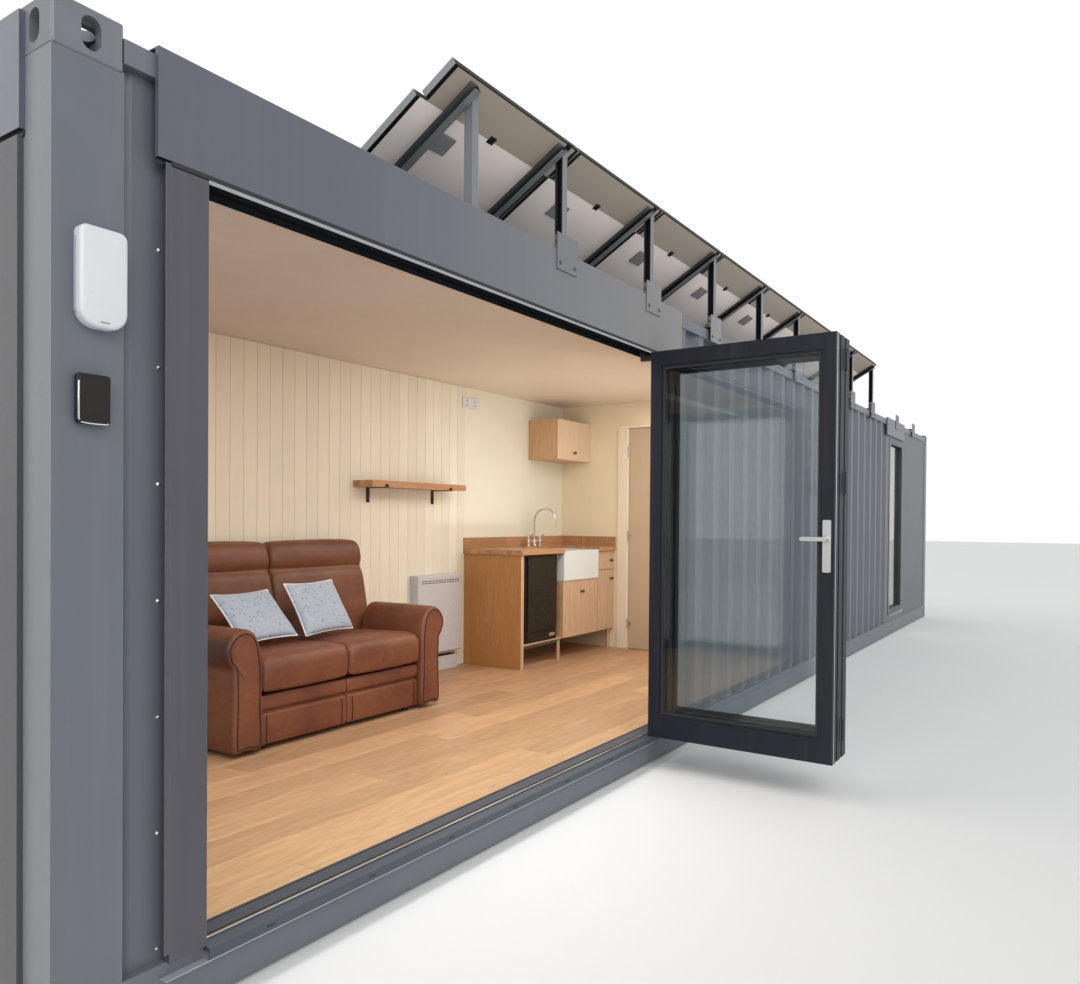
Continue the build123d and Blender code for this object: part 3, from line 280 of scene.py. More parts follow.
def plastic(name, colour, roughness=0.3, grain=0.05):
    t, shader, spot = newMaterial(name)
    dress(t, shader, t.mix(t.times(t.noise(spot, 9, 4, 0.5), 0.35), rgb(*colour), dim(colour, 0.86)),
          t.ramp(t.noise(spot, 55, 4, 0.6), 0.3, 0.7, roughness - 0.05, roughness + 0.07),
          t.bump(t.noise(spot, 900, 2, 0.5), grain, 0.0005))


def metal(name, colour, roughness=0.3):
    t, shader, spot = newMaterial(name)
    shader.inputs["Metallic"].default_value = 1.0
    lines = t.noise(t.stretch(spot, (3, 3, 160)), 6.0, 4, 0.6)
    smear = t.noise(spot, 14, 5, 0.6)
    dress(t, shader, t.mix(t.times(smear, 0.4), rgb(*colour), dim(colour, 0.8)),
          t.ramp(t.plus(lines, t.times(smear, 0.5)), 0.5, 1.0, roughness - 0.08, roughness + 0.12),
          t.bump(lines, 0.05, 0.0005))


glassValues = {"tint": (0.955, 0.985, 0.98), "bend": 1.38, "smear": 0.03}


def glassPane():
    # clear pane: bends light for the eye, lets shadow rays straight through
    k = glassValues
    t, shader, spot = newMaterial("clearGlass")
    smear = t.noise(t.stretch(spot, (3, 3, 1.2)), 3.0, 5, 0.6)
    dress(t, shader, t.mix(t.ramp(smear, 0.35, 0.75), rgb(*k["tint"]), dim(k["tint"], 0.96)),
          t.ramp(smear, 0.5, 0.9, 0.0, k["smear"]), None)
    shader.inputs["Transmission Weight"].default_value = 1.0
    shader.inputs["IOR"].default_value = k["bend"]
    clear = t.add("ShaderNodeBsdfTransparent", {"Color": rgb(*k["tint"])}).outputs[0]
    light = t.add("ShaderNodeLightPath").outputs
    straight = t.math("MAXIMUM", light["Is Shadow Ray"], light["Is Diffuse Ray"])
    t.put(t.find("OUTPUT_MATERIAL").inputs["Surface"], t.mixShaders(straight, shader.outputs[0], clear))


def toneShift(t, vector):
    # each board or plank carries its own tone, which also moves its grain
    tone = t.pieceTone()
    step = t.add("ShaderNodeCombineXYZ", {"X": t.times(tone, 37.0), "Y": t.times(tone, 19.0)}).outputs[0]
    return tone, t.vectors("ADD", vector, step)[0]


def shaded(t, colour, tone, low, high):
    grey = t.ramp(tone, 0.0, 1.0, low, high)
    tint = t.add("ShaderNodeCombineColor", dict.fromkeys(("Red", "Green", "Blue"), grey)).outputs[0]
    return t.mix(1.0, colour, tint, "MULTIPLY")


cellColours = {"silicon": (0.008, 0.012, 0.03), "flake": (0.02, 0.03, 0.07), "finger": (0.4, 0.42, 0.45),
               "busbar": (0.5, 0.52, 0.55)}


def solarCell():
    # dark blue-black cell with fine silver fingers and busbars
    k = cellColours
    t, shader, spot = newMaterial("solarCell")
    parts = t.split(spot)
    fingers = t.math("GREATER_THAN", t.math("FRACT", t.times(parts["X"], 420.0)), 0.82)
    bars = t.math("GREATER_THAN", t.math("FRACT", t.times(parts["Y"], 29.0)), 0.94)
    flakes = t.split(t.cells(spot, 70.0)["Color"])["X"]
    body = t.mix(t.times(flakes, 0.35), rgb(*k["silicon"]), rgb(*k["flake"]))
    body = shaded(t, body, t.pieceTone(), 0.8, 1.2)
    body = t.mix(t.times(fingers, 0.22), body, rgb(*k["finger"]))
    dress(t, shader, t.mix(t.times(bars, 0.6), body, rgb(*k["busbar"])),
          t.ramp(t.noise(spot, 8, 4, 0.6), 0.3, 0.7, 0.1, 0.22), t.bump(t.noise(spot, 30, 3, 0.5), 0.02, 0.002))
    shader.inputs["Coat Weight"].default_value = 0.6


grainTurn = {"X": (0, 0, 0), "Z": (0, math.radians(90), 0)}


def paintedWood(name, colour, roughness=0.5, along="Z", tones=False):
    # brushed paint on boards: grain still telegraphs through a little
    t, shader, spot = newMaterial(name)
    if tones:
        tone, spot = toneShift(t, spot)
    fibres = t.noise(t.stretch(t.stretch(spot, turn=grainTurn[along]), (5, 120, 120)), 1.0, 4, 0.6)
    blotch = t.plus(t.times(t.noise(spot, 1.7, 5, 0.6), 0.7), t.times(fibres, 0.3))
    body = t.mix(t.ramp(blotch, 0.3, 0.75), rgb(*colour), dim(colour, 0.9))
    dress(t, shader, shaded(t, body, tone, 0.94, 1.03) if tones else body,
          t.ramp(fibres, 0.3, 0.7, roughness - 0.06, roughness + 0.08), t.bump(fibres, 0.12, 0.0006))


def glueStaves(t, vector, width, length, joint):
    # each stave's own part of the grain, its chance of a tone, and the seams between staves
    parts = t.split(vector)
    row = t.math("DIVIDE", parts["Y"], width)
    index = t.math("FLOOR", row)
    column = t.plus(t.math("DIVIDE", parts["X"], length), t.times(t.chance(index)["Value"], 7.0))
    chance = t.chance(t.plus(t.math("FLOOR", column), t.times(index, 37.0)))
    edges = []
    for place, size in ((row, width), (column, length)):
        share = t.math("FRACT", place)
        edges.append(t.times(t.math("MINIMUM", share, t.minus(1.0, share)), size))
    moved = t.vectors("ADD", vector, t.vectors("MULTIPLY", chance["Color"], (9, 9, 9))[0])[0]
    return moved, chance["Value"], t.ramp(t.math("MINIMUM", *edges), joint, joint * 0.35)


def oak(name, light, dark, roughness=0.45, along="X", scale=1.0, stave=None, tones=False):
    # oak, with glued staves along the grain where their width, length and joint are given
    t, shader, spot = newMaterial(name)
    if tones:
        plank, spot = toneShift(t, spot)
    vector = t.stretch(spot, turn=grainTurn[along])
    if stave:
        vector, chance, seam = glueStaves(t, vector, *stave)
    grain = groupNode(t, woodGrain, Vector=vector, Scale=scale, Light=rgb(*light), Dark=rgb(*dark))
    colour, height = grain["Color"], grain["Height"]
    knots = t.cells(t.stretch(vector, (1.3, 4.2, 4.2)), 1.0)["Distance"]
    colour = t.mix(t.ramp(knots, 0.085, 0.02, 0.0, 0.75), colour, dim(dark, 0.55))
    if stave:
        colour = shaded(t, colour, chance, 0.82, 1.12)
        colour = t.mix(t.times(seam, 0.8), colour, dim(dark, 0.35))
        height = t.minus(height, t.times(seam, 3.0))
    dress(t, shader, shaded(t, colour, plank, 0.84, 1.1) if tones else colour,
          t.ramp(height, -0.4, 0.6, roughness + 0.1, roughness - 0.05), t.bump(height, 0.2, 0.0008))


def leather(name, colour, dark, roughness=0.42):
    t, shader, spot = newMaterial(name)
    pores = t.cells(spot, 330.0, feature="DISTANCE_TO_EDGE")["Distance"]
    folds = t.noise(t.stretch(spot, (1, 1, 1.6)), 26, 6, 0.62, 0.5)
    cloud = t.noise(spot, 3.2, 5, 0.6)
    tone = t.plus(t.times(cloud, 0.75), t.times(folds, 0.35))
    dress(t, shader, t.mix(t.ramp(tone, 0.35, 0.75), rgb(*colour), rgb(*dark)),
          t.ramp(t.plus(cloud, folds), 0.7, 1.3, roughness - 0.06, roughness + 0.12),
          t.bump(folds, 0.22, 0.004, t.bump(t.math("MINIMUM", pores, 0.25), 0.22, 0.0012)))


def ceramic(name, colour):
    t, shader, spot = newMaterial(name)
    dress(t, shader, t.mix(t.times(t.noise(spot, 6, 3, 0.5), 0.3), rgb(*colour), dim(colour, 0.92)),
          t.ramp(t.noise(spot, 40, 3, 0.5), 0.3, 0.7, 0.1, 0.18),
          t.bump(t.noise(spot, 22, 2, 0.4), 0.06, 0.002))
    shader.inputs["Coat Weight"].default_value = 0.4


# flecks: scale, colour, reach and shift
clothPattern = {"base": (0.33, 0.36, 0.405), "thread": (0.5, 0.52, 0.55), "weave": 260.0, "spread": 0.42,
                "flecks": ((36, (0.13, 0.17, 0.30), 0.27, 0.0), (44, (0.25, 0.34, 0.34), 0.28, 3.0),
                           (30, (0.34, 0.40, 0.54), 0.32, 7.0))}


def pillowCloth():
    # pale cotton with small scattered leaf-like flecks in blue, grey and green
    k = clothPattern
    t, shader = newMaterial("pillowCloth")[:2]
    flat = t.add("ShaderNodeUVMap", uv_map="cloth").outputs["UV"]
    colour = rgb(*k["base"])
    for scale, fleck, reach, shift in k["flecks"]:
        moved = t.stretch(flat, (1, 1.35, 1), (0, 0, 0.6 + shift), (shift, shift, 0))
        wave = t.times(t.noise(moved, scale * 0.7, 3, 0.5), 0.03)
        bent = t.vectors("ADD", moved, t.add("ShaderNodeCombineXYZ", {"X": wave}).outputs[0])[0]
        spots = t.cells(bent, float(scale))
        pick = t.math("GREATER_THAN", t.split(spots["Color"])["X"], k["spread"])
        mark = t.times(t.ramp(spots["Distance"], reach + 0.05, reach), pick)
        colour = t.mix(t.times(mark, 0.8), colour, rgb(*fleck))
    thread = {"Vector": flat, "Scale": k["weave"]}
    weave = t.times(*(t.add("ShaderNodeTexWave", thread, bands_direction=way).outputs["Fac"] for way in "XY"))
    dress(t, shader, t.mix(t.times(weave, 0.12), colour, rgb(*k["thread"])),
          t.ramp(weave, 0, 1, 0.78, 0.92), t.bump(weave, 0.35, 0.0006))
    shader.inputs["Sheen Weight"].default_value = 0.3


boardOak = {"light": (0.655, 0.412, 0.224), "dark": (0.444, 0.251, 0.125), "roughness": 0.42}

paint("containerPaint", (0.122, 0.133, 0.157), dust=0.45, streaks=0.22, mottle=0.25, wear=0.3)
paint("roofPaint", (0.125, 0.137, 0.16), 0.5, dust=0.75, streaks=0.3, mottle=0.35)
paint("castingPaint", (0.15, 0.16, 0.18), 0.46, dust=0.5, streaks=0.35, mottle=0.4, wear=0.6, peel=0.2)
# a darker copy of the container paint for the front and rear walls: painted shade
paint("shadedWallPaint", (0.103, 0.112, 0.134), 0.46, dust=0.45, streaks=0.22, mottle=0.25, wear=0.3)
paint("coverPaint", (0.094, 0.101, 0.128), 0.36, dust=0.35, streaks=0.12, mottle=0.12)
# a darker copy of the cover paint for the jamb covers: painted shade
paint("shadedJambPaint", (0.064, 0.0635, 0.0775), 0.36, streaks=0.12, mottle=0.12)
paint("leafCoat", (0.0085, 0.0102, 0.0182), 0.5, dust=0.12, streaks=0.08, mottle=0.1, wear=0.15, peel=0.12)
paint("frameCoat", (0.036, 0.039, 0.047), 0.4, dust=0.15, streaks=0.08, mottle=0.1, wear=0.15, peel=0.12)
# the rack paint, lighter than the container paint it stands for: painted light on the lit faces; the tints
# further down darken its shaded faces
paint("rackLitCoat", (0.17, 0.175, 0.185), dust=0.2, streaks=0.15, mottle=0.15, wear=0.3)
paint("rackShade", (0.02, 0.021, 0.025), 0.6, dust=0.1, streaks=0.1, mottle=0.15, wear=0.1)
paint("headCoat", (0.012, 0.013, 0.016), 0.5, dust=0.1, streaks=0.05, mottle=0.1, wear=0.1)
paint("sillCoat", (0.052, 0.064, 0.082), 0.5, dust=0.12, streaks=0.1, mottle=0.2, wear=0.15)
# light paint for strips on the door head's and sill's lower front edges: painted highlights
paint("highlightCoat", (0.30, 0.315, 0.345), 0.4, dust=0.2, streaks=0.1, mottle=0.1, wear=0.1)
paint("panelFrame", (0.30, 0.31, 0.315), 0.5, dust=0.1, streaks=0.15, mottle=0.1, wear=0.0)
paint("coatedBolt", (0.115, 0.127, 0.152), 0.36, streaks=0.05, wear=0.4, edge=0.0006)
glassPane()
paintedWood("creamBoard", (0.74, 0.62, 0.475))
paintedWood("creamPlanks", (0.74, 0.62, 0.475), tones=True)
paintedWood("creamCeiling", (0.74, 0.645, 0.53), along="X")
paintedWood("whiteWood", (0.82, 0.72, 0.57), 0.38)
# the door leaf: tan drawn darker than the walls, painted shade
paintedWood("shadedTanDoor", (0.54, 0.41, 0.28), 0.45)
oak("oakFloor", **boardOak, stave=(0.19, 2.2, 0.0016))
oak("oakPlanks", **boardOak, tones=True)
oak("oakFront", (0.60, 0.42, 0.28), (0.45, 0.285, 0.175), along="Z", scale=1.6)
# a paler copy of the oak fronts for the wall cupboard's front: painted light
oak("litOakFront", (0.70, 0.53, 0.37), (0.58, 0.42, 0.28), along="Z", scale=1.6)
oak("oakTop", (0.54, 0.28, 0.13), (0.34, 0.16, 0.07), 0.36, scale=1.8, stave=(0.042, 0.5, 0.0006))
ceramic("whiteGlaze", (0.69, 0.74, 0.73))
plastic("blackEnamel", (0.012, 0.010, 0.008), grain=0.03)
# the heater's white enamel drawn mid grey: painted shade
plastic("shadedWhiteEnamel", (0.52, 0.515, 0.52), grain=0.04)
plastic("whiteShell", (0.64, 0.66, 0.68), 0.32, 0.1)
plastic("blackShell", (0.010, 0.0105, 0.012), grain=0.06)
plastic("greyShell", (0.22, 0.22, 0.225), 0.5, 0.1)
plastic("rubber", (0.02, 0.02, 0.02), 0.7, 0.25)
# one backsheet colour in two copies, each set for the light its row gets: painted light, strongest on the lower
# row
plastic("upperBackLightCopy", (0.386, 0.325, 0.268), 0.5, 0.1)
plastic("lowerBackLightCopy", (0.92, 0.83, 0.78), 0.5, 0.1)
plastic("whiteCord", (0.82, 0.82, 0.82), 0.8, 0.3)
metal("satinSteel", (0.62, 0.62, 0.60), 0.32)
metal("brightSteel", (0.8, 0.8, 0.79), 0.16)
metal("bronze", (0.20, 0.13, 0.08), 0.38)
solarCell()
leather("chestnutLeather", (0.212, 0.072, 0.032), (0.103, 0.030, 0.0145))
# near-black leather for the sofa's piping and channels: painted shade in the seams
leather("pipingShadeLeather", (0.045, 0.014, 0.008), (0.022, 0.007, 0.004), 0.6)
pillowCloth()


# directions on the body, seen from its front
toRight, toRear, toTop = (1, 0, 0), (0, 1, 0), (0, 0, 1)
toLeft, toFront, toFoot = (-1, 0, 0), (0, -1, 0), (0, 0, -1)
leftSides = (toLeft, 0.6)


def shadeBeyond(finish, direction, level, width, tint, facing=None):
    # multiplies the colour by a tint past a level on the body, where wanted only on faces that look one way
    t = Tree(look[finish].node_tree)
    colour = t.find("BSDF_PRINCIPLED").inputs["Base Color"]
    source = colour.links[0].from_socket
    level += nearCorner.dot(Vector(direction))
    reach = t.vectors("DOT_PRODUCT", t.add("ShaderNodeTexCoord").outputs["Object"], direction)["Value"]
    mask = t.ramp(reach, level, level + width)
    if facing:
        turned = t.vectors("DOT_PRODUCT", t.facing(), facing[0])["Value"]
        mask = t.times(mask, t.ramp(turned, facing[1], facing[1] + 0.1))
    t.put(colour, t.mix(mask, source, t.mix(1.0, source, rgb(*tint), "MULTIPLY")))


# shaded places: under the rafters and the flashing's lip, the panel frames' sides, the sofa's left end
everywhere = (toTop, -10.0, 1.0)
shadeBeyond("rackLitCoat", (0, 0.5, 0.866), 2.5865, 0.0004, (0.08, 0.08, 0.09), ((0, 0.85, 0.5), -0.7))
shadeBeyond("rackLitCoat", toRight, 2.0, 0.01, (0.08, 0.08, 0.09), leftSides)
shadeBeyond("panelFrame", *everywhere, (0.025, 0.026, 0.03), (toRight, -0.7))
shadeBeyond("coverPaint", toFoot, -2.2925, 0.0005, (0.1, 0.1, 0.1))
shadeBeyond("chestnutLeather", toTop, 0.74, 0.12, (0.86, 0.86, 0.80))
shadeBeyond("chestnutLeather", toLeft, -1.585, 0.045, (0.3, 0.22, 0.2))

# tints along the outside, by the light that falls on each stretch
shadeBeyond("coverPaint", toRight, 0.9, 2.5, (1.95, 1.80, 1.45))
shadeBeyond("coverPaint", toRight, 4.0, 4.0, (0.46, 0.49, 0.59))
shadeBeyond("shadedWallPaint", toRight, 10.45, 0.1, (0.83, 0.83, 0.82))
leftEndTints = {"containerPaint": (1.75, 1.70, 1.5), "castingPaint": (1.25, 1.22, 1.15),
                "coverPaint": (1.9, 1.85, 1.75), "shadedJambPaint": (1.45, 1.4, 1.2)}
for finish, tint in leftEndTints.items():
    shadeBeyond(finish, toLeft, -0.1, 0.02, tint, leftSides)

# tints in the room, painted light and shade: the kitchen units' left faces darker, the rear wall lighter and
# cooler towards the right, the left faces from the partition on lighter, the ceiling darker towards the near
# end and the floor darker towards the rear
shadeBeyond("oakFront", *everywhere, (1.0, 0.91, 0.76), leftSides)
shadeBeyond("oakFront", toLeft, -4.6, 0.02, (0.81, 0.60, 0.35), leftSides)
for finish in ("creamBoard", "creamPlanks"):
    shadeBeyond(finish, toRight, 2.3, 2.4, (1.04, 1.18, 1.25), (toFront, 0.6))
shadeBeyond("creamBoard", toRight, 5.9, 0.02, (1.10, 1.13, 1.04), leftSides)
shadeBeyond("creamCeiling", toLeft, -3.6, 2.2, (0.80, 0.75, 0.78))
for finish in ("oakFloor", "oakPlanks"):
    shadeBeyond(finish, toRear, 0.4, 1.2, (0.81, 0.75, 0.76))

shine = {"headCoat": 0.0, "rackShade": 0.0, "leafCoat": 0.3, "panelFrame": 0.1, "blackEnamel": 0.3,
         "blackShell": 0.3}
for finish, value in shine.items():
    shader = Tree(look[finish].node_tree).find("BSDF_PRINCIPLED")
    shader.inputs["Specular IOR Level"].default_value = value

nodeLook = {
    "castingPaint": "corner_castings",
    "containerPaint": "corner_posts top_rails bottom_rails cross_members end_walls",
    "shadedWallPaint": "front_wall rear_wall", "roofPaint": "roof_sheet", "oakFloor": "floor",
    "creamBoard": "rear_lining front_lining end_linings partition_wall", "creamCeiling": "ceiling",
    "whiteWood": "partition_door_frame", "shadedTanDoor": "partition_door",
    "satinSteel": "partition_door_handle partition_door_hinges jamb_hinges folding_door_handle",
    "headCoat": "folding_door_frame", "sillCoat": "folding_door_sill", "leafCoat": "folding_door_leaves",
    "clearGlass": "folding_door_glass window_glass", "frameCoat": "folding_door_hinges window_frames",
    "coverPaint": "head_flashings rack_brackets", "shadedJambPaint": "jamb_covers", "rackLitCoat": "rack_frames",
    "panelFrame": "solar_panels_upper solar_panels_lower", "whiteShell": "alarm_box", "blackShell": "keypad",
    "oakFront": "kitchen_units", "oakTop": "worktop wall_shelf", "whiteGlaze": "sink", "blackEnamel": "fridge",
    "shadedWhiteEnamel": "panel_heater", "chestnutLeather": "sofa_plinth sofa_arms sofa_cushions",
    "pillowCloth": "scatter_pillows",
}
for finish, nodes in nodeLook.items():
    for node in nodes.split():
        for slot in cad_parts[node].material_slots:
            slot.material = look[finish]
print("materials on the frame")


# forms

class Form:
    # gathers closed shapes, placed along, into and up the body in metres, into one mesh
    def __init__(self):
        self.bm = bmesh.new()

    def take(self, part, matrix):
        part.transform(matrix)
        mesh = bpy.data.meshes.new("part")
        part.to_mesh(mesh)
        part.free()
        self.bm.from_mesh(mesh)
        bpy.data.meshes.remove(mesh)

    def block(self, low, high, chamfer=0.001, matrix=None, tone=None):
        low, high = Vector(low), Vector(high)
        size = high - low
        part = bmesh.new()
        bmesh.ops.create_cube(part, size=1.0)
        bmesh.ops.scale(part, vec=size, verts=part.verts)
        offset = min(chamfer, min(size) * 0.3)
        bmesh.ops.bevel(part, geom=part.edges[:], offset=offset, segments=1, affect="EDGES")
        bmesh.ops.translate(part, vec=(low + high) / 2, verts=part.verts)
        if tone is not None:
            layer = part.verts.layers.float.new("tone")
            for vert in part.verts:
                vert[layer] = tone
        self.take(part, matrix or Matrix())

    def blocks(self, boxes, matrix=None):
        for low, high, chamfer in boxes:
            self.block(low, high, chamfer, matrix)

    def loft(self, rings, closed=False):
        # rings of equal length, bridged in order
        part = bmesh.new()
        rows = [[part.verts.new(point) for point in ring] for ring in rings]
        count = len(rows[0])
        pairs = list(zip(rows, rows[1:])) + ([(rows[-1], rows[0])] if closed else [])
        for a, b in pairs:
            for i in range(count):
                j = (i + 1) % count
                part.faces.new((a[i], a[j], b[j], b[i]))
        if not closed:
            for row in (rows[0], rows[-1]):
                middle = part.verts.new(sum((v.co for v in row), Vector()) / count)
                for i in range(count):
                    part.faces.new((row[i], row[(i + 1) % count], middle))
        bmesh.ops.recalc_face_normals(part, faces=part.faces)
        self.take(part, Matrix())

    def tube(self, path, radius, sides=10, closed=False):
        path = [Vector(p) for p in path]
        rings, side = [], None
        for i, point in enumerate(path):
            before = path[i - 1] if i or closed else path[0]
            after = path[(i + 1) % len(path)] if i + 1 < len(path) or closed else path[-1]
            along = (after - before).normalized()
            if side is None:
                side = along.orthogonal().normalized()
            side = (side - along * side.dot(along)).normalized()
            other = along.cross(side)
            r = radius(i / (len(path) - 1)) if callable(radius) else radius
            rings.append([point + r * (math.cos(a) * side + math.sin(a) * other)
                          for a in (2 * math.pi * k / sides for k in range(sides))])
        self.loft(rings, closed=closed)

    def lathe(self, profile, place, axis=(0, 0, 1), sides=20):
        axis = Vector(axis).normalized()
        side = axis.orthogonal().normalized()
        other = axis.cross(side)
        self.loft([[Vector(place) + axis * h + r * (math.cos(a) * side + math.sin(a) * other)
                    for a in (2 * math.pi * k / sides for k in range(sides))] for r, h in profile])

    def ring(self, axis, near, far, a0, a1, b0, b1, width):
        # rectangular frame strip lying across the given axis, width measured inwards
        rings = []
        for depth, inset in ((near, 0), (near, width), (far, width), (far, 0)):
            corners = ((a0 + inset, b0 + inset), (a1 - inset, b0 + inset), (a1 - inset, b1 - inset),
                       (a0 + inset, b1 - inset))
            rings.append([(depth, a, b) if axis == "X" else (a, depth, b) for a, b in corners])
        self.loft(rings, closed=True)

    def mesh(self, name, smooth=False, angle=40):
        bmesh.ops.recalc_face_normals(self.bm, faces=self.bm.faces)
        mesh = bpy.data.meshes.new(name)
        self.bm.to_mesh(mesh)
        self.bm.free()
        for face in mesh.polygons:
            face.use_smooth = smooth
        if smooth and angle < 180:
            mesh.set_sharp_from_angle(angle=math.radians(angle))
        return mesh

    def piece(self, name, material, smooth=False, slot=None, angle=40):
        mesh = self.mesh(name, smooth, angle)
        mesh.transform(Matrix.Translation(nearCorner))
        return settle(name, mesh, material)


def settle(name, mesh, material):
    piece = bpy.data.objects.new(name, mesh)
    scene.collection.objects.link(piece)
    mesh.materials.clear()
    mesh.materials.append(look[material])
    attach(piece, "cabin")
    return piece


def boxPiece(name, material, boxes, slot):
    form = Form()
    form.blocks(boxes)
    return form.piece(name, material, slot=slot)


# small parts around their own origin, ready for a row

def blockUnit(boxes, matrix=None):
    form = Form()
    form.blocks(boxes, matrix)
    return form.mesh("unit")


def turnedUnit(profile, axis, sides=6):
    form = Form()
    form.lathe(profile, (0, 0, 0), axis, sides)
    return form.mesh("unit")


def makeRows():
    # lines of instances, counted along two steps, each with a small seeded turn and its own tone
    group = bpy.data.node_groups.new("rowsOfPieces", "GeometryNodeTree")
    face = group.interface
    face.new_socket("Geometry", in_out="OUTPUT", socket_type="NodeSocketGeometry")
    sockets = {}
    for label, kind in (("Geometry", "Geometry"), ("Count", "Int"), ("Step", "Vector"), ("Lines", "Int"),
                        ("Line Step", "Vector"), ("Start", "Vector"), ("Turn", "Vector"), ("Seed", "Int"),
                        ("Material", "Material")):
        sockets[label] = face.new_socket(label, in_out="INPUT", socket_type="NodeSocket" + kind).identifier
    t = Tree(group)
    given = t.add("NodeGroupInput").outputs
    along = t.add("GeometryNodeMeshLine", {"Count": given["Count"], "Start Location": given["Start"],
                                           "Offset": given["Step"]}).outputs[0]
    across = t.add("GeometryNodeMeshLine", {"Count": given["Lines"], "Offset": given["Line Step"]}).outputs[0]
    grid = t.add("GeometryNodeInstanceOnPoints", {"Points": along, "Instance": across}).outputs[0]
    grid = t.add("GeometryNodeRealizeInstances", {"Geometry": grid}).outputs[0]
    least = t.vectors("MULTIPLY", given["Turn"], (-1, -1, -1))[0]
    turn = t.add("FunctionNodeRandomValue", data_type="FLOAT_VECTOR")
    t.put(turn.inputs[0], least)
    t.put(turn.inputs[1], given["Turn"])
    t.put(turn.inputs["Seed"], given["Seed"])
    euler = t.add("FunctionNodeEulerToRotation", {0: turn.outputs[0]}).outputs[0]
    placed = t.add("GeometryNodeInstanceOnPoints", {"Points": grid, "Instance": given["Geometry"],
                                                    "Rotation": euler}).outputs[0]
    chance = t.add("FunctionNodeRandomValue", data_type="FLOAT")
    t.put(chance.inputs["Seed"], given["Seed"])
    toned = t.add("GeometryNodeStoreNamedAttribute", {"Geometry": placed, "Name": "tone"}, data_type="FLOAT",
                  domain="INSTANCE")
    t.put(next(s for s in toned.inputs if s.name == "Value" and s.enabled), chance.outputs[1])
    real = t.add("GeometryNodeRealizeInstances", {"Geometry": toned.outputs[0]}).outputs[0]
    done = t.add("GeometryNodeSetMaterial", {"Geometry": real, "Material": given["Material"]}).outputs[0]
    t.put(t.add("NodeGroupOutput").inputs[0], done)
    return group, sockets


rowsGroup, rowsSockets = makeRows()


def repeat(name, unit, material, start, step, count, lineStep=(0, 0, 0), lines=1, turn=(0, 0, 0), seed=3,
           slot=None):
    carrier = bpy.data.objects.new(name + "Carrier", unit)
    scene.collection.objects.link(carrier)
    rows = carrier.modifiers.new("rows", "NODES")
    rows.node_group = rowsGroup
    values = {"Count": count, "Step": step, "Lines": lines, "Line Step": lineStep, "Start": at(*start),
              "Turn": turn, "Seed": seed, "Material": look[material]}
    for label, value in values.items():
        rows[rowsSockets[label]] = value
    depsgraph = bpy.context.evaluated_depsgraph_get()
    mesh = bpy.data.meshes.new_from_object(carrier.evaluated_get(depsgraph), depsgraph=depsgraph)
    mesh.name = name
    bpy.data.objects.remove(carrier)
    return settle(name, mesh, material)


# boards, planks and wall fittings

liningBoards = {"first": 0.116, "pitch": 0.098, "count": 44, "low": 0.166, "high": 2.439, "face": 2.2835,
                "thickness": 0.0065, "gap": 0.001, "chamfer": 0.003, "seed": 11}


def addLiningBoards():
    k = liningBoards
    board = ((0, 0, 0), (k["pitch"] - k["gap"], k["thickness"], k["high"] - k["low"]), k["chamfer"])
    repeat("liningBoards", blockUnit([board]), "creamPlanks", (k["first"], k["face"], k["low"]),
           (k["pitch"], 0, 0), k["count"], seed=k["seed"], slot="lining_board")


floorPlanks = {"rows": 12, "length": 2.2, "thickness": 0.014, "gap": 0.0012, "chamfer": 0.0014, "seed": 5}


def addFloorPlanks():
    k = floorPlanks
    low, high = (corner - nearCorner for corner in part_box("floor"))
    chance = random.Random(k["seed"])
    width = (high.y - low.y) / k["rows"]
    form = Form()
    form.bm.verts.layers.float.new("tone")
    form.block(low, (high.x, high.y, high.z - k["thickness"] - 0.0005), 0.001, tone=0.5)
    for row in range(k["rows"]):
        x = low.x - chance.uniform(0.1, 0.9) * k["length"]
        while x < high.x:
            start, end = max(x, low.x), min(x + k["length"], high.x)
            if end - start > 0.02:
                form.block((start, low.y + row * width, high.z - k["thickness"]),
                           (end - k["gap"], low.y + (row + 1) * width - k["gap"], high.z), k["chamfer"],
                           tone=chance.random())
            x += k["length"]
    planks = form.piece("floorPlanks", "oakPlanks", slot="oak_floor")
    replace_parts(planks, "floor")


wallFittings = {"wall": 2.283, "bracketLines": (3.319, 4.019), "bracketHalf": 0.016, "bracketFoot": 1.468,
                "plate": 0.005, "shelfUnder": 1.575, "shelfFront": 2.095, "screwRises": (0.02, 0.06),
                "screw": ((0.005, 0), (0.005, 0.001), (0.003, 0.003), (0.0005, 0.0033)),
                "socket": (4.385, 4.600, 2.268, 2.358), "socketDepth": 0.009, "outlets": (0.27, 0.73),
                "pinHoles": ((0, 0.004, 2.318, 2.334), (-0.011, 0.0045, 2.289, 2.298),
                             (0.011, 0.0045, 2.289, 2.298))}


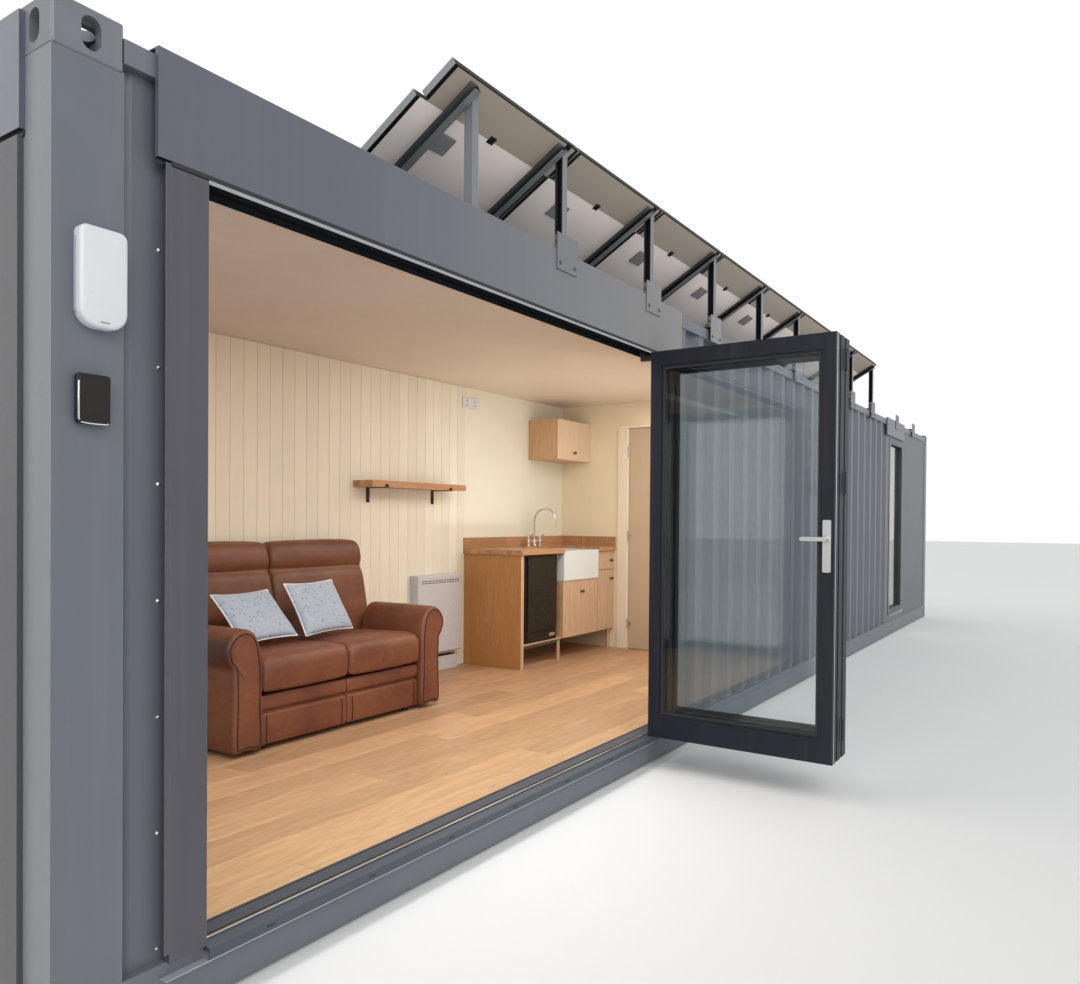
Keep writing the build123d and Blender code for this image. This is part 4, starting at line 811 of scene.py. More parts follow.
def addWallFittings():
    k = wallFittings
    wall, front, under, plate = k["wall"], k["shelfFront"], k["shelfUnder"], k["plate"]
    form = Form()
    for x in k["bracketLines"]:
        x0, x1 = x - k["bracketHalf"], x + k["bracketHalf"]
        form.block((x0, wall - plate, k["bracketFoot"]), (x1, wall, under), 0.001)
        form.block((x0, front - 0.0025, under - plate), (x1, wall, under - 0.0002), 0.001)
        form.block((x0, front - 0.0035, under - plate), (x1, front - 0.0005, under + 0.02), 0.0008)
        for rise in k["screwRises"]:
            form.lathe(k["screw"], (x, wall - plate, k["bracketFoot"] + rise), (0, -1, 0), 12)
    form.piece("shelfBrackets", "blackShell", slot="rack_coat")
    x0, x1, z0, z1 = k["socket"]
    cover, holes = Form(), Form()
    face = wall - k["socketDepth"]
    cover.block((x0, face, z0), (x1, wall, z1), 0.003)
    for share in k["outlets"]:
        middle = x0 + (x1 - x0) * share
        rocker = ((middle - 0.006, face - 0.004, z1 - 0.022), (middle + 0.006, face + 0.001, z1 - 0.006))
        cover.block(*rocker, 0.002)
        for shift, half, foot, top in k["pinHoles"]:
            pin = middle + shift
            holes.block((pin - half, face - 0.0006, foot), (pin + half, face + 0.002, top), 0.0004)
    cover.piece("doubleSocket", "whiteShell", slot="white_plastic")
    holes.piece("socketHoles", "blackShell", slot="black_plastic")


heaterParts = {"left": 3.77, "right": 4.30, "top": 0.92, "front": 2.20, "louvres": 14, "louvreStep": 0.0325,
               "louvre": ((-0.0135, -0.0008, -0.003), (0.0135, 0.002, 0.003), 0.0005), "rows": 2,
               "rowStep": -0.016,
               "box": (3.79, 4.265, 2.215, 2.2825, 0.1655, 0.278), "knobPlate": (2.215, 2.265, 0.80, 0.88),
               "knobAt": (2.24, 0.84), "knob": ((0.013, 0), (0.013, 0.008), (0.011, 0.011), (0.001, 0.0115))}


def addHeaterParts():
    k = heaterParts
    repeat("heaterLouvres", blockUnit([k["louvre"]]), "blackShell",
           (k["left"] + 0.055, k["front"], k["top"] - 0.045), (k["louvreStep"], 0, 0), k["louvres"],
           (0, 0, k["rowStep"]), k["rows"], slot="black_plastic")
    form = Form()
    x0, x1, y0, y1, z0, z1 = k["box"]
    form.block((x0, y0, z0), (x1, y1, z1), 0.004)
    form.block((x0 - 0.002, y0 - 0.003, z1 - 0.012), (x1 + 0.002, y1, z1), 0.002)
    side = k["right"] + 0.006
    y0, y1, z0, z1 = k["knobPlate"]
    form.block((k["right"] - 0.0015, y0, z0), (side, y1, z1), 0.002)
    form.lathe(k["knob"], (side, *k["knobAt"]), (1, 0, 0))
    form.piece("heaterBox", "shadedWhiteEnamel", slot="white_enamel")


addLiningBoards()
addFloorPlanks()
addWallFittings()
addHeaterParts()
print("boards, planks and wall fittings")


# kitchen fittings

kitchenTap = {"place": (5.345, 2.205, 1.110), "neckRise": 0.230, "neckRadius": 0.1125, "tube": 0.0095,
              "handleGap": 0.092, "crossRise": 0.045, "crossTube": 0.009, "wasteAt": (5.345, 1.93, 0.8605),
              "lever": ((0, 0.08), (-0.02, 0.095), (-0.05, 0.112)), "leverTube": (0.0045, 0.002),
              "foot": ((0.027, 0), (0.027, 0.004), (0.020, 0.010), (0.015, 0.03), (0.0145, 0.06),
                       (0.012, 0.065)),
              "spout": ((0.0115, 0), (0.0115, 0.018), (0.0095, 0.02)),
              "handle": ((0.024, 0), (0.024, 0.004), (0.016, 0.009), (0.013, 0.03), (0.016, 0.05),
                         (0.013, 0.062), (0.010, 0.075), (0.0125, 0.083), (0.010, 0.09), (0.001, 0.092)),
              "waste": ((0.038, 0), (0.038, 0.002), (0.03, 0.004), (0.026, 0.001), (0.01, 0.0015))}


def addTap():
    k = kitchenTap
    x, y, z = k["place"]
    mouth, rise = y - 2 * k["neckRadius"], z + k["neckRise"]
    form = Form()
    form.lathe(k["foot"], (x, y, z))
    path = [(x, y, z + 0.05), (x, y, z + 0.14), (x, y, rise)]
    for step in range(1, 19):
        a = math.pi * step / 18
        path.append((x, y - k["neckRadius"] * (1 - math.cos(a)), rise + k["neckRadius"] * math.sin(a)))
    path.append((x, mouth, rise - 0.035))
    form.tube(path, k["tube"], 14)
    form.lathe(k["spout"], (x, mouth, rise - 0.04))
    cross = [(x + gap, y, z + k["crossRise"]) for gap in (-k["handleGap"], 0, k["handleGap"])]
    form.tube(cross, k["crossTube"], 12)
    thin, swell = k["leverTube"]
    for side in (-1, 1):
        hx = x + side * k["handleGap"]
        form.lathe(k["handle"], (hx, y, z))
        form.tube([(hx, y + out, z + up) for out, up in k["lever"]], lambda s: thin + swell * s, 10)
    form.lathe(k["waste"], k["wasteAt"])
    form.piece("swanNeckTap", "brightSteel", True, slot="satin_steel")


kitchenFronts = {"knobs": ((5.35, 1.710, 0.73), (5.875, 1.710, 0.984), (5.875, 1.710, 0.816),
                           (5.646, 1.976, 1.97)),
                 "knob": ((0.010, 0), (0.010, 0.002), (0.0055, 0.005), (0.005, 0.012), (0.010, 0.017),
                          (0.0145, 0.022), (0.0150, 0.027), (0.012, 0.031), (0.006, 0.033), (0.0005, 0.0335)),
                 "cupboard": ((5.368, 1.9749, 1.902), (5.948, 1.9762, 2.260), 0.0004)}


def addKitchenFronts():
    knobs = Form()
    for place in kitchenFronts["knobs"]:
        knobs.lathe(kitchenFronts["knob"], place, (0, -1, 0), 18)
    knobs.piece("cupboardKnobs", "bronze", True, slot="satin_steel")
    # the wall cupboard's front: a thin plate in the paler oak copy, painted light
    boxPiece("cupboardFront", "litOakFront", [kitchenFronts["cupboard"]], "oak_unit")


fridgeFront = {"left": 4.51, "right": 4.97, "face": 1.725, "foot": 0.360, "top": 1.067, "leftGap": 0.02,
               "rightGap": 0.012, "door": (0.09, 0.01, 0.012), "drawer": (0.012, 0.078, 0.006),
               "pullInset": 0.05, "pull": (0.04, 0.018), "pullDepth": (0.0145, 0.011),
               "plate": (0.12, 0.04, 0.03, 0.055), "plateDepth": (0.0085, 0.0055)}


def addFridgeFront():
    k = fridgeFront
    front, foot, top, right = k["face"], k["foot"], k["top"], k["right"]
    x0, x1, back = k["left"] + k["leftGap"], right - k["rightGap"], front - 0.0002
    low, high, depth = k["door"]
    door = ((x0, front - depth, foot + low), (x1, back, top - high), 0.006)
    low, high, depth = k["drawer"]
    drawer = ((x0, front - depth, foot + low), (x1, back, foot + high), 0.003)
    (low, high), (near, far) = k["pull"], k["pullDepth"]
    pull = ((k["left"] + k["pullInset"], front - near, top - low),
            (right - k["pullInset"], front - far, top - high), 0.002)
    boxPiece("fridgeDoor", "blackEnamel", [door, drawer, pull], "black_enamel")
    (far0, far1, low, high), (near, far) = k["plate"], k["plateDepth"]
    plate = ((right - far0, front - near, foot + low), (right - far1, front - far, foot + high), 0.001)
    boxPiece("fridgeFootPlate", "brightSteel", [plate], "satin_steel")


addTap()
addKitchenFronts()
addFridgeFront()
print("kitchen fittings")


# door, window and cover trims

leaves = {"faces": (3.130, 3.222, 3.314), "light": (-0.936, -0.107, 0.310, 2.177), "inset": 0.010,
          "glass": 0.028, "gasket": 0.009}
windows = {"end": ((0.230, 1.185), (1.253, 2.208)), "endSill": 0.233, "endHead": 2.277,
           "tall": (9.675, 10.365, 0.315, 2.289), "glassNear": 0.041, "glassFar": 0.069, "gasket": 0.008}
gaskets = {"proud": 0.004, "clear": 0.0002}


def sealPane(form, axis, near, far, light, width):
    # a strip on each side of a pane, just clear of its glass
    k = gaskets
    form.ring(axis, near - k["proud"], near - k["clear"], *light, width)
    form.ring(axis, far + k["clear"], far + k["proud"], *light, width)


def addGaskets():
    form = Form()
    k = leaves
    for face in k["faces"]:
        near = face + k["inset"]
        sealPane(form, "X", near, near + k["glass"], k["light"], k["gasket"])
    k = windows
    for y0, y1 in k["end"]:
        light = (y0, y1, k["endSill"], k["endHead"])
        sealPane(form, "X", k["glassNear"], k["glassFar"], light, k["gasket"])
    sealPane(form, "Y", k["glassNear"], k["glassFar"], k["tall"], k["gasket"])
    form.piece("glazingGaskets", "rubber", slot="black_plastic")


# thin lines at the openings, each with its low corner, its high corner and its chamfer
brightLines = {"jambBead": ((0.409, -0.0015, 0.175), (0.4128, 0.003, 2.277), 0.0008),
               "trackLine": ((0.416, 0.0035, 0.1758), (3.128, 0.0125, 0.1778), 0.0006),
               "leafEdge": ((3.150, -1.0118, 0.185), (3.156, -1.0095, 2.262), 0.0006),
               "windowSide": ((9.624, -0.002, 0.275), (9.634, 0.0002, 2.33), 0.0006),
               "windowDrip": ((9.615, -0.014, 0.2325), (10.425, 0.002, 0.2375), 0.001),
               "windowSill": ((9.615, -0.014, 0.2475), (10.425, 0.002, 0.2525), 0.001)}
# painted highlights: light strips on the lower front edges of the door head and the sill
highlightLines = {"head": ((0.412, -0.0165, 2.2680), (3.53, -0.0145, 2.2792), 0.0006),
            "sillFront": ((0.28, -0.0312, 0.1262), (3.40, -0.0292, 0.1302), 0.0006),
            "sillEnd": ((0.28, -0.0300, 0.1262), (0.412, 0.0004, 0.1286), 0.0006)}
jambHem = ((0.284, -0.0152, 0.19), (0.300, -0.011, 2.285), 0.001)
# the head gap strip is painted shadow: a dark strip under the flashing's foot, over the flashing's return
darkLines = {"headGapShadow": ((0.30, -0.0165, 2.2796), (3.60, -0.002, 2.2925), 0.0006),
             "trackNear": ((0.416, 0.028, 0.1709), (3.128, 0.034, 0.1722), 0.0003),
             "trackFar": ((0.416, 0.094, 0.1709), (3.40, 0.098, 0.1722), 0.0003)}
leafBrushes = {"sides": (0.012, 0.054), "thickness": 0.005, "run": (-0.98, -0.06), "levels": (0.1785, 0.1815)}
drainSlots = {"start": (0.62, -0.030, 0.145), "step": 0.42, "count": 7,
              "slot": ((-0.016, -0.0008, -0.003), (0.016, 0.0006, 0.003), 0.0004)}
stubScrews = {"start": (0.288, 0.0242, 0.20), "step": 0.31, "count": 7, "turn": 0.6,
              "head": ((0.0060, 0), (0.0060, 0.0012), (0.0044, 0.0018), (0.0040, 0.0040), (0.0024, 0.0050),
                       (0.0004, 0.0052))}


def addDoorTrims():
    boxPiece("brightTrims", "brightSteel", brightLines.values(), "satin_steel")
    boxPiece("edgeHighlights", "highlightCoat", highlightLines.values(), "rack_coat")
    boxPiece("jambHem", "shadedJambPaint", [jambHem], "cover_coat")
    k = leafBrushes
    (y0, y1), (z0, z1) = k["run"], k["levels"]
    brushes = [((face + side, y0, z0), (face + side + k["thickness"], y1, z1), 0.0006)
               for face in leaves["faces"] for side in k["sides"]]
    # dark track lines and leaf brushes, with the painted shadow under the flashing
    boxPiece("sealsAndGapShadow", "rubber", [*darkLines.values(), *brushes], "black_plastic")
    k = drainSlots
    repeat("drainSlots", blockUnit([k["slot"]]), "rubber", k["start"], (k["step"], 0, 0), k["count"],
           slot="black_plastic")
    k = stubScrews
    repeat("stubScrews", turnedUnit(k["head"], toFront), "brightSteel", k["start"], (0, 0, k["step"]),
           k["count"], turn=(0, k["turn"], 0), slot="satin_steel")


cornerWelds = {"radius": 0.0032, "wander": 0.0008, "levels": (0.118, 2.473), "along": 0.170, "across": 0.155,
               "proud": 0.0008, "rear": 2.438, "far": 12.190, "steps": 24, "shake": 0.0006, "seed": 4}


def addCornerWelds():
    k = cornerWelds
    proud, across, along, steps = k["proud"], k["across"], k["along"], k["steps"]
    form = Form()
    chance = random.Random(k["seed"])
    for z in k["levels"]:
        corner = [(proud, across * (1 - i / steps), z) for i in range(steps)]
        corner += [(proud + along * i / steps, proud, z) for i in range(steps + 1)]
        corner = [(x, y, z + chance.uniform(-1, 1) * k["shake"]) for x, y, z in corner]
        rear = [(proud, k["rear"] - across + across * i / steps, z) for i in range(steps)]
        far = [(k["far"] - along * i / steps, proud, z) for i in range(steps)]
        for path, waves in ((corner, 160), (rear, 80), (far, 80)):
            form.tube(path, lambda s: k["radius"] + k["wander"] * math.sin(s * waves), 8)
    form.piece("cornerWelds", "containerPaint", True, slot="container_paint", angle=180)


addGaskets()
addDoorTrims()
addCornerWelds()
print("gaskets, trims and welds")


# solar array

solarArray = {"tilt": -30, "corner": (1.400, -0.025, 3.085), "pitch": 0.905, "length": 0.893, "count": 8,
              "rim": 0.026, "upper": (0.040, 0.0, 0.172), "lower": (0.0, 0.182, 0.872), "under": -0.032,
              "end": 0.021, "rackLine": 2.210}
arrayTurn = Matrix.Rotation(math.radians(solarArray["tilt"]), 4, "X")


def onArray(u, s, n):
    return Vector(solarArray["corner"]) + arrayTurn.to_3x3() @ Vector((u, s, n))


def upSlope(distance):
    return arrayTurn.to_3x3() @ Vector((0, distance, 0))


def overPanels(name, unit, finish, start, slot, count=solarArray["count"], **more):
    # one row of a small part, panel by panel
    repeat(name, unit, finish, start, (solarArray["pitch"], 0, 0), count, slot=slot, **more)


# the backsheet finishes carry painted light, set for each row
# backsheets: row, finish and reach at the top and the foot; cells: row, lines, height and drop
panelFaces = {"backsheets": {"upperBacksheets": ("upper", "upperBackLightCopy", 0.005, 0.0105),
                             "lowerBacksheets": ("lower", "lowerBackLightCopy", -0.0005, -0.006)},
              "cells": {"upperCells": ("upper", 1, 0.118, 0.001), "lowerCells": ("lower", 5, 0.1245, 0.0035)},
              "cell": 0.1245, "cellGap": 0.003, "cellThickness": 0.0006, "columns": 6, "edge": 0.0385,
              "seed": 7}


def addPanelFaces():
    k, faces = solarArray, panelFaces
    for name, (row, finish, low, high) in faces["backsheets"].items():
        shift, top, bottom = k[row]
        sheet = ((0, top + low, -0.0010), (k["length"] - 2 * k["end"], bottom + high, -0.0002), 0.0002)
        start = onArray(shift + k["end"], 0, k["under"])
        overPanels(name, blockUnit([sheet], arrayTurn), finish, start, "panel_back")
    pitch = faces["cell"] + faces["cellGap"]
    for name, (row, lines, height, drop) in faces["cells"].items():
        shift, top, bottom = k[row]
        cell = blockUnit([((0, 0, 0), (faces["cell"], height, faces["cellThickness"]), 0.0003)], arrayTurn)
        for panel in range(k["count"]):
            start = onArray(shift + panel * k["pitch"] + k["rim"] + faces["edge"], top + k["rim"] + drop, 0.0)
            repeat(name + str(panel), cell, "solarCell", start, (pitch, 0, 0), faces["columns"],
                   upSlope(pitch), lines, seed=faces["seed"] + panel, slot="panel_back")


arrayFixings = {
    "junctionBox": [((-0.055, -0.045, -0.012), (0.055, 0.045, 0.0), 0.004)],
    "clamp": [((-0.02, -0.018, -0.036), (0.02, 0.018, -0.032), 0.001),
              ((-0.005, -0.005, -0.045), (0.005, 0.005, -0.036), 0.001)],
    "midClamp": [((-0.02, -0.014, -0.001), (0.02, 0.014, 0.0025), 0.0008),
                 ((-0.0045, -0.0045, 0.002), (0.0045, 0.0045, 0.006), 0.0008)],
    "bracketBolt": ((0.011, 0), (0.011, 0.0012), (0.0075, 0.0014), (0.0075, 0.0060), (0.0060, 0.0068),
                    (0.0004, 0.0070)),
    "rackBolt": ((0.009, 0), (0.009, 0.001), (0.0062, 0.0012), (0.0062, 0.0052), (0.0048, 0.006),
                 (0.0004, 0.0062)),
    "boxAt": (0.26, 0.30), "clampAt": (0.47, 0.177), "edgeClampAt": (0.86, 0.012), "midClampSlope": 0.28,
    "midClampStep": 0.50, "bracketBoltAt": (0.010, -0.0212, 2.520), "rackBoltAt": (0.0198, 0.002, 2.60)}


def addArrayFixings():
    k, parts = solarArray, arrayFixings
    between = k["count"] - 1
    overPanels("junctionBoxes", blockUnit(parts["junctionBox"], arrayTurn), "greyShell",
               onArray(*parts["boxAt"], k["under"] - 0.0008), "black_plastic", turn=(0, 0, 0.02))
    clamp = blockUnit(parts["clamp"], arrayTurn)
    overPanels("panelClamps", clamp, "blackShell", onArray(*parts["clampAt"], 0.0), "rack_coat")
    overPanels("edgeClamps", clamp, "blackShell", onArray(*parts["edgeClampAt"], 0.0), "rack_coat", between)
    overPanels("midClamps", blockUnit(parts["midClamp"], arrayTurn), "satinSteel",
               onArray(k["pitch"] - 0.006, parts["midClampSlope"], 0.0), "satin_steel", between,
               lineStep=upSlope(parts["midClampStep"]), lines=2)
    x, y, z = parts["bracketBoltAt"]
    overPanels("bracketBolts", turnedUnit(parts["bracketBolt"], toFront), "coatedBolt",
               (k["rackLine"] + x, y, z), "cover_coat", lineStep=(0.125, 0, 0), lines=2, turn=(0, 0.5, 0))
    x, y, z = parts["rackBoltAt"]
    overPanels("rackBolts", turnedUnit(parts["rackBolt"], toLeft), "satinSteel",
               (k["rackLine"] + x, y, z), "satin_steel", lineStep=(0, 0, 0.035), lines=2, turn=(0.5, 0, 0))


# painted shade inside the rack posts: a dark side plate and a back plate on each, laid where the channel is
# shaded
postShades = {"foot": 2.6545, "front": -0.0155, "rear": 0.0135, "side": (0.0538, 0.0549),
              "back": (0.021, 0.0538), "backDepth": (-0.0001, 0.0004), "below": 0.032, "clear": 0.002}


def addPostShades():
    k = postShades
    tilt = math.radians(-solarArray["tilt"])
    front, rear = k["front"], k["rear"]
    peak = solarArray["corner"][2] - k["below"] / math.cos(tilt) - k["clear"]
    post = Form()
    backSpan = [rear + depth for depth in k["backDepth"]]
    for (x0, x1), (y0, y1) in ((k["side"], (front, rear)), (k["back"], backSpan)):
        tops = [peak - (y - solarArray["corner"][1]) * math.tan(tilt) for y in (y0, y1)]
        outline = ((y0, k["foot"]), (y1, k["foot"]), (y1, tops[1]), (y0, tops[0]))
        post.loft([[Vector((x, y, z)) for y, z in outline] for x in (x0, x1)])
    overPanels("postShades", post.mesh("postShade"), "rackShade", (solarArray["rackLine"], 0, 0), "rack_coat")


addPanelFaces()
addArrayFixings()
addPostShades()
print("solar array parts")


# boxes on the post

alarmBox = {"span": (0.052, 0.172, -0.034, 1.813, 2.058), "corner": 0.020, "lowCorner": 0.045,
            "steps": ((-0.0002, 0.0008), (-0.0070, 0.0), (-0.0072, 0.0012), (-0.0095, 0.0012), (-0.0097, 0.0),
                      (-0.026, 0.0), (-0.0292, 0.0012), (-0.0318, 0.0036), (-0.0334, 0.0068),
                      (-0.0340, 0.0105)),
            "seam": (-0.0095, -0.0075), "seamInset": 0.03, "clips": (0.052, 0.055),
            "clipDepth": (-0.024, -0.014), "slot": (0.012, 0.0155), "slotHalf": 0.012}


def boxOutline(y, inset):
    # rounded oblong of the alarm's shell at one depth, with wider curves at its foot
    x0, x1, front, z0, z1 = alarmBox["span"]
    high, low = alarmBox["corner"], alarmBox["lowCorner"]
    ring = []
    for x, z, r, start in ((x1, z1, high, 0), (x0, z1, high, 90), (x0, z0, low, 180), (x1, z0, low, 270)):
        cx = x - r if x == x1 else x + r
        cz = z - r if z == z1 else z + r
        for step in range(9):
            a = math.radians(start + step * 90 / 8)
            ring.append(Vector((cx + (r - inset) * math.cos(a), y, cz + (r - inset) * math.sin(a))))
    return ring


def addAlarmBox():
    k = alarmBox
    x0, x1, front, z0, z1 = k["span"]
    shell = Form()
    shell.loft([boxOutline(y, inset) for y, inset in k["steps"]])
    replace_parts(shell.piece("alarmShell", "whiteShell", True, slot="white_plastic", angle=60), "alarm_box")
    seam = Form()
    seam.ring("Y", *k["seam"], x0 - 0.0004, x1 + 0.0004, z0 + k["seamInset"], z1 - k["seamInset"], 0.0012)
    near, far = k["clipDepth"]
    for z in (z0 + k["clips"][0], z1 - k["clips"][1]):
        seam.block((x1 - 0.0015, near, z - 0.006), (x1 + 0.0006, far, z + 0.006), 0.0006)
    middle = (x0 + x1) / 2
    foot, top = k["slot"]
    seam.block((middle - k["slotHalf"], front - 0.0006, z0 + foot),
               (middle + k["slotHalf"], front + 0.002, z0 + top), 0.0005)
    seam.piece("alarmSeams", "greyShell", slot="black_plastic")


keypad = {"span": (0.052, 0.134, -0.025, 1.578, 1.700), "rim": 0.0022}


def addKeypad():
    x0, x1, front, z0, z1 = keypad["span"]
    body = Form()
    body.block((x0, front + 0.004, z0), (x1, -0.0003, z1), 0.006)
    body.block((x0 + 0.003, front, z0 + 0.003), (x1 - 0.003, front + 0.006, z1 - 0.003), 0.004)
    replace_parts(body.piece("keypadShell", "blackShell", slot="black_plastic"), "keypad")
    rim = Form()
    near = front + 0.003
    rim.tube([(x0 + 0.002, near, z1 - 0.02), (x0 + 0.001, front + 0.002, (z0 + z1) / 2),
              (x0 + 0.002, near, z0 + 0.012), (x0 + 0.008, near, z0 + 0.003), (x0 + 0.03, near, z0 + 0.001),
              (x1 - 0.014, near, z0 + 0.001), (x1 - 0.004, near, z0 + 0.006)], keypad["rim"], 10)
    rim.piece("keypadRim", "brightSteel", True, slot="satin_steel")
    face = Form()
    face.block((x0 + 0.010, front - 0.0016, z0 + 0.012), (x1 - 0.008, front + 0.001, z1 - 0.008), 0.0012)
    face.block((x0 + 0.034, front - 0.0028, z0 + 0.018), (x1 - 0.032, front - 0.001, z0 + 0.026), 0.0008)
    face.piece("keypadFace", "blackEnamel", slot="black_plastic")


addAlarmBox()
addKeypad()
print("boxes on the post")


# sofa

# outlines: depth and height for seat, back and base, distance from the seat and height for the arm
# softness: rounding at the ends, sag, rows between them and depth of the creases
sofa = {"left": 1.530, "width": 1.640, "front": 1.430, "armWidth": 0.225, "depth": 0.545, "backInset": 0.055,
        "piping": 0.0042, "channel": 0.0022, "gap": 0.0015, "floorTop": 0.1655, "channelInset": 0.04,
        "channelPath": ((1.4625, 0.345), (1.4605, 0.27), (1.464, 0.205)), "glideInsets": (0.06, 0.09, 0.06),
        "seatSoft": (0.030, 0.012, 26, 0.0030), "backSoft": (0.040, 0.014, 26, 0.0030),
        "baseSoft": (0.010, 0.003, 16, 0.0015), "armSoft": (0.022, 0.002, 20, 0.0025),
        "seat": ((1.971, 0.462), (1.70, 0.459), (1.50, 0.460), (1.447, 0.466), (1.436, 0.50), (1.432, 0.55),
                 (1.437, 0.60), (1.462, 0.637), (1.51, 0.6525), (1.62, 0.6535), (1.80, 0.648), (1.955, 0.635),
                 (1.972, 0.60)),
        "back": ((2.272, 0.30), (2.26, 0.20), (2.10, 0.196), (1.99, 0.21), (1.979, 0.35), (1.981, 0.47),
                 (2.012, 0.60), (2.042, 0.76), (2.072, 0.91), (2.094, 0.995), (2.118, 1.036), (2.112, 1.058),
                 (2.106, 1.095), (2.118, 1.15), (2.145, 1.195), (2.19, 1.2125), (2.24, 1.203), (2.270, 1.16),
                 (2.2735, 0.9), (2.2735, 0.6)),
        "base": ((1.968, 0.449), (1.60, 0.449), (1.486, 0.448), (1.468, 0.440), (1.4625, 0.405), (1.467, 0.375),
                 (1.484, 0.3605), (1.4665, 0.347), (1.462, 0.31), (1.462, 0.25), (1.4655, 0.206), (1.48, 0.195),
                 (1.60, 0.193), (1.968, 0.193)),
        "arm": ((0.002, 0.20), (0.002, 0.40), (0.0025, 0.58), (0.009, 0.66), (0.026, 0.735), (0.062, 0.786),
                (0.118, 0.8035), (0.172, 0.785), (0.213, 0.738), (0.2225, 0.69), (0.207, 0.635), (0.183, 0.603),
                (0.1785, 0.55), (0.178, 0.38), (0.1775, 0.20), (0.10, 0.193)),
        "glide": ((0.017, 0), (0.02, 0.003), (0.02, 0.02), (0.017, 0.0262))}


def smoothLoop(points, steps=6):
    # closed curve through the points
    out = []
    count = len(points)
    for i in range(count):
        a, b, c, d = (Vector(points[(i + j) % count]) for j in (-1, 0, 1, 2))
        for s in range(steps):
            t = s / steps
            slope, bend, twist = c - a, 2 * a - 5 * b + 4 * c - d, 3 * b - a - 3 * c + d
            out.append(0.5 * ((2 * b) + slope * t + bend * t * t + twist * t ** 3))
    return out


def insetLoop(loop, amount, centre):
    # moves each point of a closed curve inwards along its own normal
    out = []
    count = len(loop)
    area = sum(p.x * q.y - q.x * p.y for p, q in zip(loop, loop[1:] + loop[:1]))
    for i in range(count):
        along = (loop[(i + 1) % count] - loop[i - 1]).normalized()
        inward = Vector((-along.y, along.x)) if area > 0 else Vector((along.y, -along.x))
        out.append(loop[i] + inward * min(amount, (loop[i] - centre).length * 0.9))
    return out


def crease(form, depth, shift):
    # shallow dents and swellings of stretched leather, fading towards the foot
    dents = ((7.0, 0.6), (19.0, 0.3), (43.0, 0.12))
    form.bm.normal_update()
    offsets = []
    for vert in form.bm.verts:
        spot = vert.co + Vector((shift, shift * 2, 0))
        size = sum(noise.noise(spot * scale) * share for scale, share in dents)
        fade = min(1.0, max(0.0, (spot.z - 0.20) / 0.12))
        offsets.append(vert.normal * (size - 0.5) * depth * fade)
    for vert, offset in zip(form.bm.verts, offsets):
        vert.co += offset


def softLoft(name, loop, lift, start, end, softness, shift):
    # a stuffed form: the closed section runs from start to end, rounded off at both and fullest halfway
    edge, sag, rows, wander = softness
    centre = sum(loop, Vector((0, 0))) / len(loop)
    span = end - start
    stations = [edge * (1 - math.cos(math.pi / 2 * i / 6)) for i in range(7)]
    inner = [edge + (span - 2 * edge) * i / rows for i in range(1, rows)]
    rings = []
    for travel in stations + inner + [span - s for s in reversed(stations)]:
        near = min(travel, span - travel)
        curve = edge - math.sqrt(max(edge * edge - (edge - near) ** 2, 0.0)) if near < edge else 0.0
        slack = sag * (1 - (1 - (2 * travel / span - 1) ** 2) ** 0.5)
        rings.append([lift(start + travel, p.x, p.y) for p in insetLoop(loop, curve + slack, centre)])
    caps = []
    for flat in (rings[0], rings[-1]):
        middle = sum(flat, Vector()) / len(flat)
        caps.append([[p.lerp(middle, share) for p in flat] for share in (0.3, 0.6, 0.85)])
    form = Form()
    form.loft(caps[0][::-1] + rings + caps[1])
    crease(form, wander, shift)
    return form.piece(name, "chestnutLeather", True, "tan_leather", 180)


def alongBody(x, y, z):
    return Vector((x, y, z))


def intoBody(y, x, z):
    return Vector((x, y, z))


